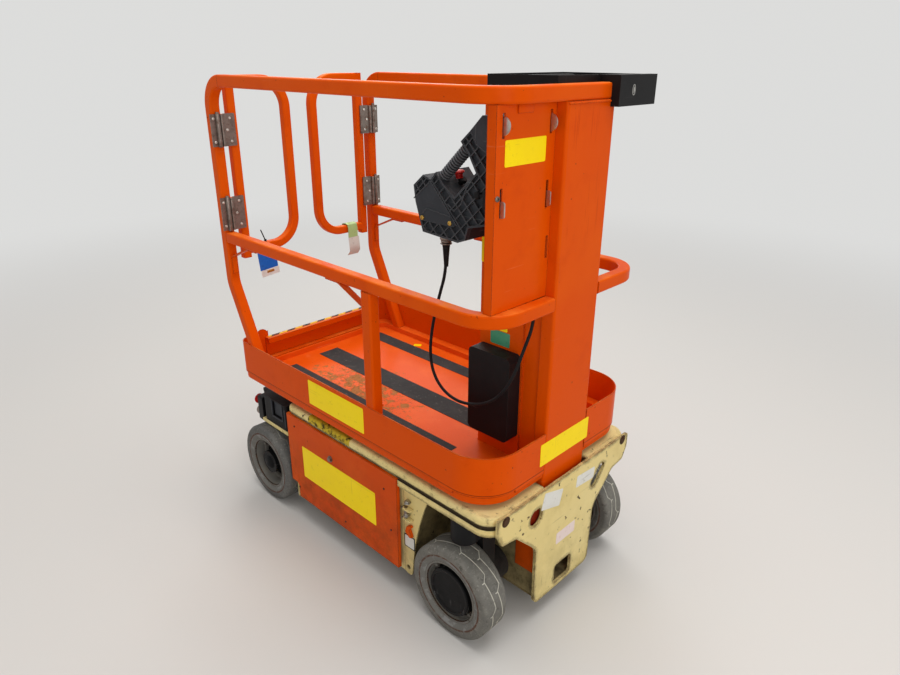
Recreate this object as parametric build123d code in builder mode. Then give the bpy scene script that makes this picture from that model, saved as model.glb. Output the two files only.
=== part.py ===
from build123d import *
from math import pi, radians, tan
import os

os.makedirs("parts", exist_ok=True)

# Frame: origin on the floor under the middle, +X towards the mast, -Y the right-hand side, +Z up
# All sizes are in millimetres

# Clearances and stock
seat = 0.3
steel = 6

# Wheels
wheel_x = 520
tyre_d = 323
tyre_width = 100
tyre_shoulder = 14
bead_h = 14
bead_in = 6
rim_d = 214
rim_wall = 8
rim_fillet = 8
track_outside = 760
front_disc_inset = 34
rear_disc_inset = 66
disc_thick = 8
wheel_r = tyre_d / 2
rim_r = rim_d / 2
wheel_out_y = track_outside / 2
wheel_in_y = wheel_out_y - tyre_width

# Chassis
chassis_top = 500
chassis_half_y = 367
chassis_rear_x = -640
tail_half_y = 200
wing_rear_x = -342
end_plate_x = 686
end_plate_t = 10
chassis_front_x = end_plate_x - end_plate_t
chassis_corner_r = 60
tail_corner_r = 24
top_edge_r = 13
cap_drop = 24
groove_in = 4
flange_top = 462
flange_low = 438
rail_in_y = 125
rail_out_y = rail_in_y + steel
rail_bottom = 75
tray_z = 100
bulkhead_inset = 27
bulkhead_half_y = chassis_half_y - bulkhead_inset
bulkhead_front_x = 300
under_top = chassis_top - steel

# Mast
mast_out_x = 660
mast_in_x = 386
mast_half_y = 107
mast_wall = 10
mast_gap = 6
section_wall = 6
cover_bottom = 200
section_bottom = 135
mast_mid_x = (mast_out_x + mast_in_x) / 2
well_gap = 8
well_back_x = mast_in_x - well_gap - steel

# Platform
toe_half_y = 373
toe_t = 4
toe_top = 677
toe_low = 548
toe_tab_low = 539
deck_rear_x = -640
deck_front_x = mast_out_x
deck_front_r = 130
deck_rear_r = 40
deck_bottom = 518
ledge_z = 567
pan_z = 545
floor_t = 5
band_t = 4

# Guard rails
rail_tube_w = 38
rail_tube_h = 40
rail_tube_r = 7
rail_half_y = toe_half_y - toe_t - seat
top_rail_top = 1650
mid_rail_top = 1103
rail_corner_r = 100
post_outer_x = -686
post_bend_r = 90
post_kink_z = 905
post_kink_r = 100
post_foot_x = -510
mid_post_x = 160
mid_post_w = 44
cover_top = top_rail_top - rail_tube_h - seat

# Entry gates
gate_tube = 32
gate_tube_r = 6
hinge_in = 34
gate_post_in = 82
gate_free_y = 61
gate_low_z = 1020
gate_foot_z = 990
gate_corner_r = 100
leaf_t = 5
leaf_w = 34
hinge_pin_r = 6
gate_hinge_y = rail_half_y - hinge_in
gate_post_y = rail_half_y - gate_post_in


def keep(piece, name):
    piece.part.label = name
    export_step(piece.part, "parts/" + name + ".step")


# Tyres, rims and hubs, one set for each corner: name, x, side of the lift, disc inset
wheel_table = [
    ("front_left", wheel_x, 1, front_disc_inset),
    ("front_right", wheel_x, -1, front_disc_inset),
    ("rear_left", -wheel_x, 1, rear_disc_inset),
    ("rear_right", -wheel_x, -1, rear_disc_inset),
]
motor_gap = 10
hub_bore_r = 46
front_hub_r = 66
front_hub_rim = 4
front_hub_step = 22
front_hub_proud = 10
front_hub_dome = 8
rear_hub_nose_r = 17
rear_hub_cone = 24
rear_hub_proud = 52
rear_hub_edge = 5
motor_end_y = wheel_out_y - front_disc_inset - disc_thick - motor_gap
axle_end_y = wheel_in_y - 18

for name, x, side, inset in wheel_table:
    axle = Plane(origin=(x, 0, wheel_r), x_dir=(0, side, 0), z_dir=(side, 0, 0))
    spin = Axis((x, 0, wheel_r), (0, 1, 0))
    disc_y = wheel_out_y - inset
    tread_in = wheel_in_y + tyre_shoulder
    tread_out = wheel_out_y - tyre_shoulder
    shoulder_r = wheel_r - tyre_shoulder

    with BuildPart() as tyre:
        with BuildSketch(axle) as section:
            with BuildLine():
                Polyline(
                    (wheel_in_y + bead_in, rim_r),
                    (wheel_in_y, rim_r + bead_h),
                    (wheel_in_y, shoulder_r),
                )
                RadiusArc((wheel_in_y, shoulder_r), (tread_in, wheel_r), tyre_shoulder)
                Line((tread_in, wheel_r), (tread_out, wheel_r))
                RadiusArc((tread_out, wheel_r), (wheel_out_y, shoulder_r), tyre_shoulder)
                Polyline(
                    (wheel_out_y, shoulder_r),
                    (wheel_out_y, rim_r + bead_h),
                    (wheel_out_y - bead_in, rim_r),
                    (wheel_in_y + bead_in, rim_r),
                )
            make_face()
        revolve(axis=spin)
    keep(tyre, "tyre_" + name)

    with BuildPart() as rim:
        with BuildSketch(axle) as section:
            with BuildLine():
                Polyline(
                    (wheel_in_y + bead_in, rim_r - seat),
                    (wheel_in_y + bead_in, rim_r - rim_wall),
                    (disc_y - disc_thick, rim_r - rim_wall),
                    (disc_y - disc_thick, hub_bore_r),
                    (disc_y, hub_bore_r),
                    (disc_y, rim_r - rim_wall - rim_fillet),
                    (disc_y + rim_fillet, rim_r - rim_wall),
                    (wheel_out_y - bead_in, rim_r - rim_wall),
                    (wheel_out_y - bead_in, rim_r - seat),
                    close=True,
                )
            make_face()
        revolve(axis=spin)
    keep(rim, "rim_" + name)

    with BuildPart() as hub:
        with BuildSketch(axle) as section:
            with BuildLine():
                if x > 0:
                    Polyline(
                        (motor_end_y + seat, 0),
                        (motor_end_y + seat, hub_bore_r - seat),
                        (disc_y + seat, hub_bore_r - seat),
                        (disc_y + seat, front_hub_r),
                        (disc_y + front_hub_proud, front_hub_r - front_hub_rim),
                        (disc_y + front_hub_proud + front_hub_rim, front_hub_r - front_hub_step),
                        (disc_y + front_hub_proud + front_hub_dome, 0),
                        (motor_end_y + seat, 0),
                    )
                else:
                    Polyline(
                        (axle_end_y + seat, 0),
                        (axle_end_y + seat, hub_bore_r - seat),
                        (disc_y + rear_hub_edge, hub_bore_r - seat),
                        (disc_y + rear_hub_cone + rear_hub_edge, rear_hub_nose_r + rear_hub_edge),
                        (disc_y + rear_hub_cone + 2 * rear_hub_edge, rear_hub_nose_r),
                        (disc_y + rear_hub_proud - rear_hub_edge, rear_hub_nose_r),
                        (disc_y + rear_hub_proud, rear_hub_nose_r - rear_hub_edge),
                        (disc_y + rear_hub_proud, 0),
                        (axle_end_y + seat, 0),
                    )
            make_face()
        revolve(axis=spin)
    keep(hub, "hub_" + name)


# Outline of the chassis top at a distance inside its edge: wide over the doors, narrow at the rear wheels
def chassis_outline(inset):
    rear = chassis_rear_x + inset
    wing = wing_rear_x + inset
    front = chassis_front_x - inset
    tail = tail_half_y - inset
    half = chassis_half_y - inset
    corner = tail_corner_r - inset
    with BuildSketch() as outline:
        with BuildLine():
            FilletPolyline(
                (rear, 0),
                (rear, -tail),
                (wing, -tail),
                (wing, -half),
                (front, -half),
                (front, 0),
                radius=[corner, tail_corner_r + inset, corner, chassis_corner_r - inset],
            )
            mirror(about=Plane.XZ)
        make_face()
    return outline.sketch


# Chassis top: a cap with a rolled edge over a groove, and the flange below it that the doors interrupt
door_rear_x = -348
door_front_x = 277
door_low = 105
door_top = 461
door_gap = 4
slot_half_y = mast_half_y + well_gap
slot_x0 = well_back_x + steel
slot_high = chassis_top - flange_low
with BuildPart() as chassis_top_plate:
    with BuildSketch(Plane.XY.offset(chassis_top - cap_drop)):
        add(chassis_outline(0))
    extrude(amount=cap_drop)
    fillet(chassis_top_plate.faces().sort_by(Axis.Z)[-1].edges(), top_edge_r)
    with BuildSketch(Plane.XY.offset(flange_low)):
        add(chassis_outline(groove_in))
    extrude(amount=under_top - flange_low)
    with BuildSketch(Plane.XY.offset(flange_low)):
        add(chassis_outline(0))
    extrude(amount=flange_top - flange_low)
    with BuildSketch(Plane.XY.offset(flange_low)):
        add(chassis_outline(groove_in + steel))
    extrude(amount=under_top - flange_low, mode=Mode.SUBTRACT)
    with Locations(((slot_x0 + chassis_front_x) / 2, 0, flange_low + slot_high / 2)):
        Box(chassis_front_x - slot_x0, 2 * slot_half_y, slot_high, mode=Mode.SUBTRACT)
    for side in (1, -1):
        with Locations(
            (
                (door_rear_x + door_front_x) / 2,
                side * (chassis_half_y + bulkhead_half_y + seat) / 2,
                (flange_low + door_top + door_gap) / 2,
            )
        ):
            Box(
                door_front_x - door_rear_x + 2 * door_gap,
                chassis_half_y - bulkhead_half_y - seat,
                door_top + door_gap - flange_low,
                mode=Mode.SUBTRACT,
            )
keep(chassis_top_plate, "chassis_top")

# Long rails under the cap, on the tray floor and on the mast well's plate, with holes for the rear axle
axle_r = 25
tail_rise = 60
rail_step = 60
skirt_in = groove_in + steel + seat
with BuildPart() as chassis_rails:
    for side in (1, -1):
        with BuildSketch(Plane.XZ.offset(-side * (rail_in_y + steel / 2))):
            with BuildLine():
                Polyline(
                    (chassis_rear_x + skirt_in, under_top - seat),
                    (chassis_rear_x + skirt_in, flange_low - seat),
                    (chassis_rear_x, flange_low - seat),
                    (chassis_rear_x, tray_z + tail_rise),
                    (chassis_rear_x + tail_rise, tray_z + steel + seat),
                    (bulkhead_front_x + steel, tray_z + steel + seat),
                    (bulkhead_front_x + steel + rail_step, rail_bottom + steel + seat),
                    (chassis_front_x, rail_bottom + steel + seat),
                    (chassis_front_x, flange_low - seat),
                    (chassis_front_x - skirt_in, flange_low - seat),
                    (chassis_front_x - skirt_in, under_top - seat),
                    close=True,
                )
            make_face()
            with Locations((-wheel_x, wheel_r)):
                Circle(axle_r + seat, mode=Mode.SUBTRACT)
        extrude(amount=steel / 2, both=True)
keep(chassis_rails, "chassis_rails")

# Battery trays: one floor from side to side, with a bulkhead outside each rail at both ends
bulkhead_width = bulkhead_half_y - rail_out_y - seat
bulkhead_rear_x = wing_rear_x + skirt_in
bulkhead_mid_y = bulkhead_half_y - bulkhead_width / 2
bulkhead_high = under_top - seat - tray_z
with BuildPart() as battery_trays:
    with Locations(((wing_rear_x + bulkhead_front_x + steel) / 2, 0, tray_z + steel / 2)):
        Box(bulkhead_front_x + steel - wing_rear_x, 2 * bulkhead_half_y, steel)
    for side in (1, -1):
        for x in (bulkhead_rear_x, bulkhead_front_x):
            with Locations((x + steel / 2, side * bulkhead_mid_y, tray_z + bulkhead_high / 2)):
                Box(steel, bulkhead_width, bulkhead_high)
keep(battery_trays, "battery_trays")

with BuildPart() as mast_well:
    with Locations(((well_back_x + chassis_front_x) / 2, 0, rail_bottom + steel / 2)):
        Box(chassis_front_x - well_back_x, 2 * rail_out_y, steel)
    with Locations((well_back_x + steel / 2, 0, (rail_bottom + under_top - seat) / 2)):
        Box(steel, 2 * (rail_in_y - seat), under_top - seat - rail_bottom)
keep(mast_well, "mast_well")

# Kingpin beams on the rails' outer sides, over the steered wheels
kingpin_in = 62
kingpin_y = chassis_half_y - kingpin_in
kingpin_r = 44
beam_half_x = 62
beam_bottom = 430
beam_in_y = rail_out_y + seat
beam_out_y = kingpin_y + kingpin_r
with BuildPart() as kingpin_beams:
    for side in (1, -1):
        with Locations((wheel_x, side * (beam_in_y + beam_out_y) / 2, (beam_bottom + under_top - seat) / 2)):
            Box(2 * beam_half_x, beam_out_y - beam_in_y, under_top - seat - beam_bottom)
keep(kingpin_beams, "kingpin_beams")

# Plates across the two ends, cut away round the wheels: half width, height and corner radius
end_plate_top = chassis_top + 3
end_steps = [
    (347, end_plate_top, 8),
    (347, 450, 20),
    (325, 407, 8),
    (262, 398, 24),
    (158, 298, 50),
    (152, 70, 26),
]
rear_steps = [
    (190, chassis_top - top_edge_r, 8),
    (190, 330, 40),
    (128, 142, 20),
]


def end_outline(steps):
    with BuildSketch() as outline:
        with BuildLine():
            FilletPolyline(
                (0, steps[0][1]),
                *[(-y, z) for y, z, radius in steps],
                (0, steps[-1][1]),
                radius=[radius for y, z, radius in steps],
            )
            mirror(about=Plane.YZ)
        make_face()
    return outline.sketch


tie_y = 166
tie_z = 422.5
tie_r = 31
tow_half_y = 46
tow_low = 86
tow_high = 163
tow_corner_r = 12
oval_y = 169
oval_z = 415.5
oval_centres = 56
oval_r = 19
oval_slant = 47
with BuildPart() as end_plate:
    with BuildSketch(Plane.YZ.offset(chassis_front_x + seat)):
        add(end_outline(end_steps))
        with Locations((0, (tow_low + tow_high) / 2)):
            RectangleRounded(2 * tow_half_y, tow_high - tow_low, tow_corner_r, mode=Mode.SUBTRACT)
        with Locations((-tie_y, tie_z)):
            Circle(tie_r, mode=Mode.SUBTRACT)
        with Locations((oval_y, oval_z)):
            SlotCenterToCenter(oval_centres, 2 * oval_r, rotation=oval_slant, mode=Mode.SUBTRACT)
    extrude(amount=end_plate_t - seat)
keep(end_plate, "end_plate")

rear_slot_w = 150
rear_slot_h = 60
rear_slot_z = 250
with BuildPart() as rear_plate:
    with BuildSketch(Plane.YZ.offset(chassis_rear_x - seat)):
        add(end_outline(rear_steps))
        with Locations((0, rear_slot_z)):
            RectangleRounded(rear_slot_w, rear_slot_h, tow_corner_r, mode=Mode.SUBTRACT)
    extrude(amount=-steel)
keep(rear_plate, "rear_plate")

# Wing panels in front of the steered wheels, with the arch as one arc and a rounded foot
panel_rear_x = door_front_x + 7
panel_t = 4
panel_low = 80
panel_foot_x = panel_rear_x + 34
panel_hole_z = 108
panel_hole_r = 8
arch_foot = (324, 118)
arch_middle = (348, 272)
arch_top = (404, flange_low - seat)
panel_mid_y = bulkhead_half_y + seat + panel_t / 2
with BuildPart() as arch_panels:
    for side in (1, -1):
        with BuildSketch(Plane.XZ.offset(-side * panel_mid_y)) as face:
            with BuildLine():
                Polyline(
                    arch_top,
                    (panel_rear_x, flange_low - seat),
                    (panel_rear_x, panel_low),
                    (panel_foot_x, panel_low),
                    arch_foot,
                )
                ThreePointArc(arch_foot, arch_middle, arch_top)
            make_face()
            fillet(face.vertices().group_by(Axis.Y)[0], tow_corner_r)
            with Locations(((panel_rear_x + panel_foot_x) / 2, panel_hole_z)):
                Circle(panel_hole_r, mode=Mode.SUBTRACT)
        extrude(amount=panel_t / 2, both=True)
keep(arch_panels, "arch_panels")

# Battery blocks in the side trays and the closed power unit between the rails
battery_x = 264
battery_y = 181
battery_z = 276
battery_gap = 11
battery_low = tray_z + steel + seat
battery_rear_in = 158
battery_pitch = 275
battery_row = (wing_rear_x + battery_rear_in, wing_rear_x + battery_rear_in + battery_pitch)
battery_mid_y = rail_out_y + battery_gap + battery_y / 2
with BuildPart() as battery_pack:
    for side in (1, -1):
        for x in battery_row:
            with Locations((x, side * battery_mid_y, battery_low + battery_z / 2)):
                Box(battery_x, battery_y, battery_z)
keep(battery_pack, "battery_pack")

unit_x = 300
unit_y = 200
unit_z = 220
unit_in = 162
unit_mid_x = wing_rear_x + unit_in
with BuildPart() as power_unit:
    with Locations((unit_mid_x, 0, battery_low + unit_z / 2)):
        Box(unit_x, unit_y, unit_z)
keep(power_unit, "power_unit")

# Ground control box on its shelf over the right-hand rear wheel, with a hood over its end
box_x0 = -566
box_x1 = -392
box_low = 346
box_high = 457
box_out_y = chassis_half_y - 22
box_in_y = tail_half_y + 5
box_edge_r = 12
box_corner_r = 30
hood_x = 44
hood_z = 26
hood_margin = 60
hood_shift = 6
recess_x = -455
recess_z = 418
recess_width = 70
recess_height = 68
recess_depth = 18
shelf_low = box_low - seat - steel
shelf_margin = 5
with BuildPart() as control_shelf:
    with Locations(((box_x0 + box_x1) / 2, -(box_out_y + rail_out_y + seat) / 2, shelf_low + steel / 2)):
        Box(box_x1 - box_x0 + 2 * shelf_margin, box_out_y - rail_out_y - seat, steel)
keep(control_shelf, "control_shelf")

with BuildPart() as ground_control_box:
    with Locations(((box_x0 + box_x1) / 2, -(box_out_y + box_in_y) / 2, (box_low + box_high) / 2)):
        Box(box_x1 - box_x0, box_out_y - box_in_y, box_high - box_low)
    fillet(ground_control_box.edges().filter_by(Axis.Z).sort_by(Axis.X)[2:], box_edge_r)
    upright = ground_control_box.edges().filter_by(Axis.Z).sort_by_distance((box_x0, -box_out_y, box_low))[0]
    fillet(upright, box_corner_r)
    with Locations((box_x0, -(box_out_y + box_in_y) / 2 + hood_shift, box_high - hood_z / 2)):
        Box(2 * hood_x, box_out_y - box_in_y - hood_margin, hood_z)
    fillet(ground_control_box.edges().filter_by(Axis.Y).group_by(Axis.X)[0], hood_z / 2 - 1)
    with Locations((recess_x, -box_out_y, recess_z)):
        Box(recess_width, 2 * recess_depth, recess_height, mode=Mode.SUBTRACT)
keep(ground_control_box, "ground_control_box")

stop_in = 54
stop_drop = 66
stop_y = -box_out_y + stop_in
stop_z = box_high - stop_drop
stop_stem_r = 13
stop_stem_length = 20
stop_head_r = 20
stop_head_length = 14
stop_edge_r = 5
key_rise = 20
key_z = box_low + key_rise
key_r = 15
key_length = 16
stop_axis = Plane(origin=(box_x0 - seat, stop_y, stop_z), z_dir=(-1, 0, 0))
with BuildPart() as ground_controls:
    with BuildSketch(stop_axis):
        Circle(stop_stem_r)
    extrude(amount=stop_stem_length)
    with BuildSketch(stop_axis.offset(stop_stem_length)):
        Circle(stop_head_r)
    extrude(amount=stop_head_length)
    fillet(ground_controls.faces().sort_by(Axis.X)[0].edges(), stop_edge_r)
    with BuildSketch(Plane(origin=(box_x0 - seat, stop_y, key_z), z_dir=(-1, 0, 0))):
        Circle(key_r)
    extrude(amount=key_length)
keep(ground_controls, "ground_controls")

# Rear axle tube through the rails, ending at the hubs
flange_r = 46
flange_t = 16
with BuildPart() as rear_axle:
    with Locations(Location((-wheel_x, 0, wheel_r), (90, 0, 0))):
        Cylinder(axle_r, 2 * axle_end_y)
    for side in (1, -1):
        with Locations(Location((-wheel_x, side * (rail_out_y + seat + flange_t / 2), wheel_r), (90, 0, 0))):
            Cylinder(flange_r, flange_t)
keep(rear_axle, "rear_axle")

# Steering knuckles: kingpin barrel over the wheel, leg inboard of it, drive motor into the rim
leg_out_y = wheel_in_y - 8
leg_in_y = 215
motor_in_y = 155
motor_r = 60
leg_half_x = 48
arm_half_x = 40
arm_t = 18
barrel_bottom = tyre_d + 14
for side, hand in ((1, "left"), (-1, "right")):
    with BuildPart() as knuckle:
        with BuildSketch(Plane.XY.offset(barrel_bottom)):
            with Locations((wheel_x, side * kingpin_y)):
                Circle(kingpin_r)
        extrude(amount=beam_bottom - seat - barrel_bottom)
        with Locations((wheel_x, side * (leg_in_y + kingpin_y) / 2, barrel_bottom + arm_t / 2)):
            Box(2 * arm_half_x, kingpin_y - leg_in_y, arm_t)
        with Locations((wheel_x, side * (leg_in_y + leg_out_y) / 2, (wheel_r + barrel_bottom + arm_t) / 2)):
            Box(2 * leg_half_x, leg_out_y - leg_in_y, barrel_bottom + arm_t - wheel_r)
        with BuildSketch(Plane.XZ.offset(-side * motor_in_y)):
            with Locations((wheel_x, wheel_r)):
                Circle(motor_r)
        extrude(amount=-side * (motor_end_y - motor_in_y))
    keep(knuckle, "knuckle_" + hand)

# Side doors: folded pans hung on vertical pins at their rear edge
door_proud = 2
door_face_y = chassis_half_y + door_proud
door_sheet = 3
door_depth = 14
door_pin_x = door_rear_x + 10
door_pin_y = door_face_y - 8
door_notch_x = 44
door_notch_z = 60
pin_r = 4
pin_gap = 0.1
eye_r = 8
eye_length = 22
eye_low_z = door_low + door_notch_z
eye_drop = 61
eye_high_z = door_top - eye_drop
tab_t = 6
notch_r = 16
for side, hand in ((1, "left"), (-1, "right")):
    with BuildPart() as door:
        outline = [
            (door_rear_x, door_top),
            (door_rear_x, door_low + door_notch_z),
            (door_rear_x + door_notch_x, door_low + door_notch_z),
            (door_rear_x + door_notch_x, door_low),
            (door_front_x, door_low),
            (door_front_x, door_top),
        ]
        with BuildSketch(Plane.XZ.offset(-side * door_face_y)) as face:
            Polygon(*outline, align=None)
            fillet(face.vertices().sort_by_distance(outline[2])[0], notch_r)
        extrude(amount=side * door_depth)
        with BuildSketch(Plane.XZ.offset(-side * (door_face_y - door_sheet))):
            add(face.sketch)
            offset(amount=-door_sheet, mode=Mode.REPLACE)
        extrude(amount=side * door_depth, mode=Mode.SUBTRACT)
        # The rear return is left off so that the pins' tabs pass it
        return_mid_y = door_face_y - door_sheet - door_depth / 2
        with Locations((door_rear_x, side * return_mid_y, (door_top + eye_low_z) / 2)):
            Box(4 * door_sheet, door_depth, door_top - eye_low_z - 2 * door_sheet, mode=Mode.SUBTRACT)
        for z in (eye_low_z, eye_high_z):
            with Locations((door_pin_x, side * door_pin_y, z + eye_length / 2)):
                Cylinder(eye_r, eye_length)
        for z in (eye_low_z, eye_high_z):
            with Locations((door_pin_x, side * door_pin_y, z + eye_length / 2)):
                Cylinder(pin_r + pin_gap, eye_length + 2, mode=Mode.SUBTRACT)
    keep(door, "door_" + hand)

# Door brackets: a foot under the notch and a tab near the top, each rounded about its pin
foot_low = 72
foot_half_x = 16
foot_hole_r = 5
foot_holes = (foot_low + 16, foot_low + 56)
pin_length = 20
bracket_y = bulkhead_half_y + seat
tab_low_z = eye_low_z - seat - tab_t
tab_high_z = eye_high_z + eye_length + seat
with BuildPart() as door_brackets:
    for side in (1, -1):
        with BuildSketch(Plane.XZ.offset(-side * bracket_y)):
            with Locations((door_pin_x, (foot_low + tab_low_z + tab_t) / 2)):
                Rectangle(2 * foot_half_x, tab_low_z + tab_t - foot_low)
            with Locations(*[(door_pin_x, z) for z in foot_holes]):
                Circle(foot_hole_r, mode=Mode.SUBTRACT)
        extrude(amount=-side * steel)
        for z in (tab_low_z, tab_high_z):
            with BuildSketch(Plane.XY.offset(z)):
                with Locations((door_pin_x + (foot_half_x - pin_r) / 2, side * (bracket_y + door_pin_y) / 2)):
                    Rectangle(foot_half_x + pin_r, door_pin_y - bracket_y)
                with Locations((door_pin_x, side * door_pin_y)):
                    Circle(pin_r)
            extrude(amount=tab_t)
        with Locations((door_pin_x, side * door_pin_y, tab_low_z + tab_t + pin_length / 2)):
            Cylinder(pin_r, pin_length)
        with Locations((door_pin_x, side * door_pin_y, tab_high_z - pin_length / 2)):
            Cylinder(pin_r, pin_length)
keep(door_brackets, "door_brackets")

# Door latch bolts in two tabs, and the brake release lever, on the arch panels
latch_x = panel_rear_x + 20
latch_z = 337
latch_tab = (30, 16, 4)
latch_pitch = 40
latch_r = 6
latch_length = 50
panel_face_y = panel_mid_y + panel_t / 2 + seat
with BuildPart() as door_latches:
    for side in (1, -1):
        for z in (latch_z - latch_pitch / 2, latch_z + latch_pitch / 2):
            with Locations((latch_x, side * (panel_face_y + latch_tab[1] / 2), z)):
                Box(*latch_tab)
        with Locations((latch_x, side * (panel_face_y + latch_tab[1] / 2 + 1), latch_z)):
            Cylinder(latch_r, latch_length)
keep(door_latches, "door_latches")

lever_t = 10
lever_edge_r = 2
lever_outline = [(298, 262), (306, 286), (324, 296), (328, 288), (318, 278), (330, 250), (318, 246)]
with BuildPart() as release_lever:
    with BuildSketch(Plane.XZ.offset(panel_face_y)) as face:
        with BuildLine():
            Polyline(*lever_outline, close=True)
        make_face()
        fillet(face.vertices(), lever_edge_r)
    extrude(amount=lever_t)
keep(release_lever, "release_lever")

# Mast: four nested sections. Each is a rounded box tube with wear pads at its ends
inner_half_x = (mast_out_x - mast_in_x) / 2 - mast_wall
inner_half_y = mast_half_y - mast_wall
pad_t = mast_gap - seat
pad_z = 60
pad_end = 10
pad_low = 4
outer_side_pad = 80
outer_end_pad = 60
inner_side_pad = 60
inner_end_pad = 50
section_r = 10
section_in_r = 6
step = mast_gap + section_wall
groove_x0 = 557
groove_x1 = 617
groove_depth = 5
base_flange = 12
base_flange_t = 8

# name, how many steps in from the cover's inside, bottom, how far its top is under the cover's, pads inside
section_table = [
    ("mast_upper", 0, section_bottom, 20, True),
    ("mast_lower", 1, section_bottom, 30, True),
    ("mast_base", 2, rail_bottom + steel + seat, 40, False),
]
for name, steps, low, under_cover, inside_pads in section_table:
    high = cover_top - under_cover
    half_x = inner_half_x - mast_gap - steps * step
    half_y = inner_half_y - mast_gap - steps * step
    hollow_x = half_x - section_wall
    hollow_y = half_y - section_wall
    with BuildPart() as section:
        with BuildSketch(Plane.XY.offset(low)):
            with Locations((mast_mid_x, 0)):
                RectangleRounded(2 * half_x, 2 * half_y, section_r)
                RectangleRounded(2 * hollow_x, 2 * hollow_y, section_in_r, mode=Mode.SUBTRACT)
        extrude(amount=high - low)
        for side in (1, -1):
            with Locations((mast_mid_x, side * (half_y + pad_t / 2), high - pad_z / 2 - pad_end)):
                Box(outer_side_pad, pad_t, pad_z)
            with Locations((mast_mid_x + side * (half_x + pad_t / 2), 0, high - pad_z / 2 - pad_end)):
                Box(pad_t, outer_end_pad, pad_z)
            if inside_pads:
                with Locations((mast_mid_x, side * (hollow_y - pad_t / 2), low + pad_z / 2 + pad_low)):
                    Box(inner_side_pad, pad_t, pad_z)
                with Locations((mast_mid_x + side * (hollow_x - pad_t / 2), 0, low + pad_z / 2 + pad_low)):
                    Box(pad_t, inner_end_pad, pad_z)
        if not inside_pads:
            with BuildSketch(Plane.XY.offset(low)):
                with Locations((mast_mid_x, 0)):
                    Rectangle(2 * (half_x + base_flange), 2 * (half_y + base_flange))
                    Rectangle(2 * hollow_x, 2 * hollow_y, mode=Mode.SUBTRACT)
            extrude(amount=base_flange_t)
    keep(section, name)

inner_pad_z = cover_bottom + pad_z / 2 + pad_low
cover_r = 8
cover_in_r = 5
lid_overlap = 1
with BuildPart() as mast_cover:
    with BuildSketch(Plane.XY.offset(cover_bottom)):
        with Locations((mast_mid_x, 0)):
            RectangleRounded(mast_out_x - mast_in_x, 2 * mast_half_y, cover_r)
            RectangleRounded(2 * inner_half_x, 2 * inner_half_y, cover_in_r, mode=Mode.SUBTRACT)
        with Locations(*[((groove_x0 + groove_x1) / 2, side * mast_half_y) for side in (1, -1)]):
            Rectangle(groove_x1 - groove_x0, 2 * groove_depth, mode=Mode.SUBTRACT)
    extrude(amount=cover_top - cover_bottom)
    with Locations((mast_mid_x, 0, cover_top - steel / 2)):
        Box(2 * (inner_half_x + lid_overlap), 2 * (inner_half_y + lid_overlap), steel)
    for side in (1, -1):
        with Locations((mast_mid_x, side * (inner_half_y - pad_t / 2), inner_pad_z)):
            Box(inner_side_pad, pad_t, pad_z)
        with Locations((mast_mid_x + side * (inner_half_x - pad_t / 2), 0, inner_pad_z)):
            Box(pad_t, inner_end_pad, pad_z)
keep(mast_cover, "mast_cover")


# Platform outline at a distance inside the toe board: small corners at the entry, large ones at the mast
def platform_outline(inset, rear_r):
    rear = deck_rear_x + inset
    front = deck_front_x - inset
    half = toe_half_y - inset
    front_r = deck_front_r - inset
    with BuildSketch() as outline:
        with BuildLine():
            FilletPolyline((rear, 0), (rear, -half), (front, -half), (front, 0), radius=[rear_r, front_r])
            mirror(about=Plane.XZ)
        make_face()
    return outline.sketch


# Deck: a recessed floor pan with a ledge round it, and below it the band with its cross members
ledge_w = rail_tube_w
band_edge_r = 8
band_lip = 30
pan_corner_r = 30
band_inset = toe_t + seat
pan_inset = band_inset + ledge_w
mast_slot_y = mast_half_y + seat
mast_slot_x = mast_in_x - seat
under_pan = pan_z - floor_t
with BuildPart() as deck_floor:
    with BuildSketch(Plane.XY.offset(ledge_z - floor_t)):
        add(platform_outline(band_inset, deck_rear_r - band_inset))
    extrude(amount=floor_t)
    with BuildSketch(Plane.XY.offset(under_pan)):
        add(platform_outline(pan_inset - band_t, pan_corner_r + band_t))
    extrude(amount=ledge_z - under_pan)
    with BuildSketch(Plane.XY.offset(pan_z)):
        add(platform_outline(pan_inset, pan_corner_r))
    extrude(amount=ledge_z - pan_z, mode=Mode.SUBTRACT)
    with Locations(((mast_slot_x + deck_front_x) / 2, 0, (under_pan + ledge_z) / 2)):
        Box(deck_front_x - mast_slot_x, 2 * mast_slot_y, ledge_z - under_pan, mode=Mode.SUBTRACT)
keep(deck_floor, "deck_floor")

band_top = ledge_z - floor_t - seat
cross_row = (-560, -330, -100, 130, 340)
cross_w = 40
cross_high = under_pan - seat - deck_bottom
with BuildPart() as deck_frame:
    with BuildSketch(Plane.XY.offset(deck_bottom)):
        add(platform_outline(band_inset, deck_rear_r - band_inset))
    extrude(amount=band_top - deck_bottom)
    fillet(deck_frame.faces().sort_by(Axis.Z)[0].edges(), band_edge_r)
    with BuildSketch(Plane.XY.offset(deck_bottom + band_t)):
        add(platform_outline(band_inset + band_t, deck_rear_r - band_inset - band_t))
    extrude(amount=band_top - deck_bottom - band_t, mode=Mode.SUBTRACT)
    with BuildSketch(Plane.XY.offset(deck_bottom)):
        add(platform_outline(band_inset + band_lip, pan_corner_r))
    extrude(amount=band_t, mode=Mode.SUBTRACT)
    for x in cross_row:
        with Locations((x, 0, deck_bottom + cross_high / 2)):
            Box(cross_w, 2 * (toe_half_y - band_inset - band_edge_r), cross_high)
    with Locations(((mast_slot_x + deck_front_x) / 2, 0, (deck_bottom + ledge_z) / 2)):
        Box(deck_front_x - mast_slot_x, 2 * mast_slot_y, ledge_z - deck_bottom, mode=Mode.SUBTRACT)
keep(deck_frame, "deck_frame")

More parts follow.
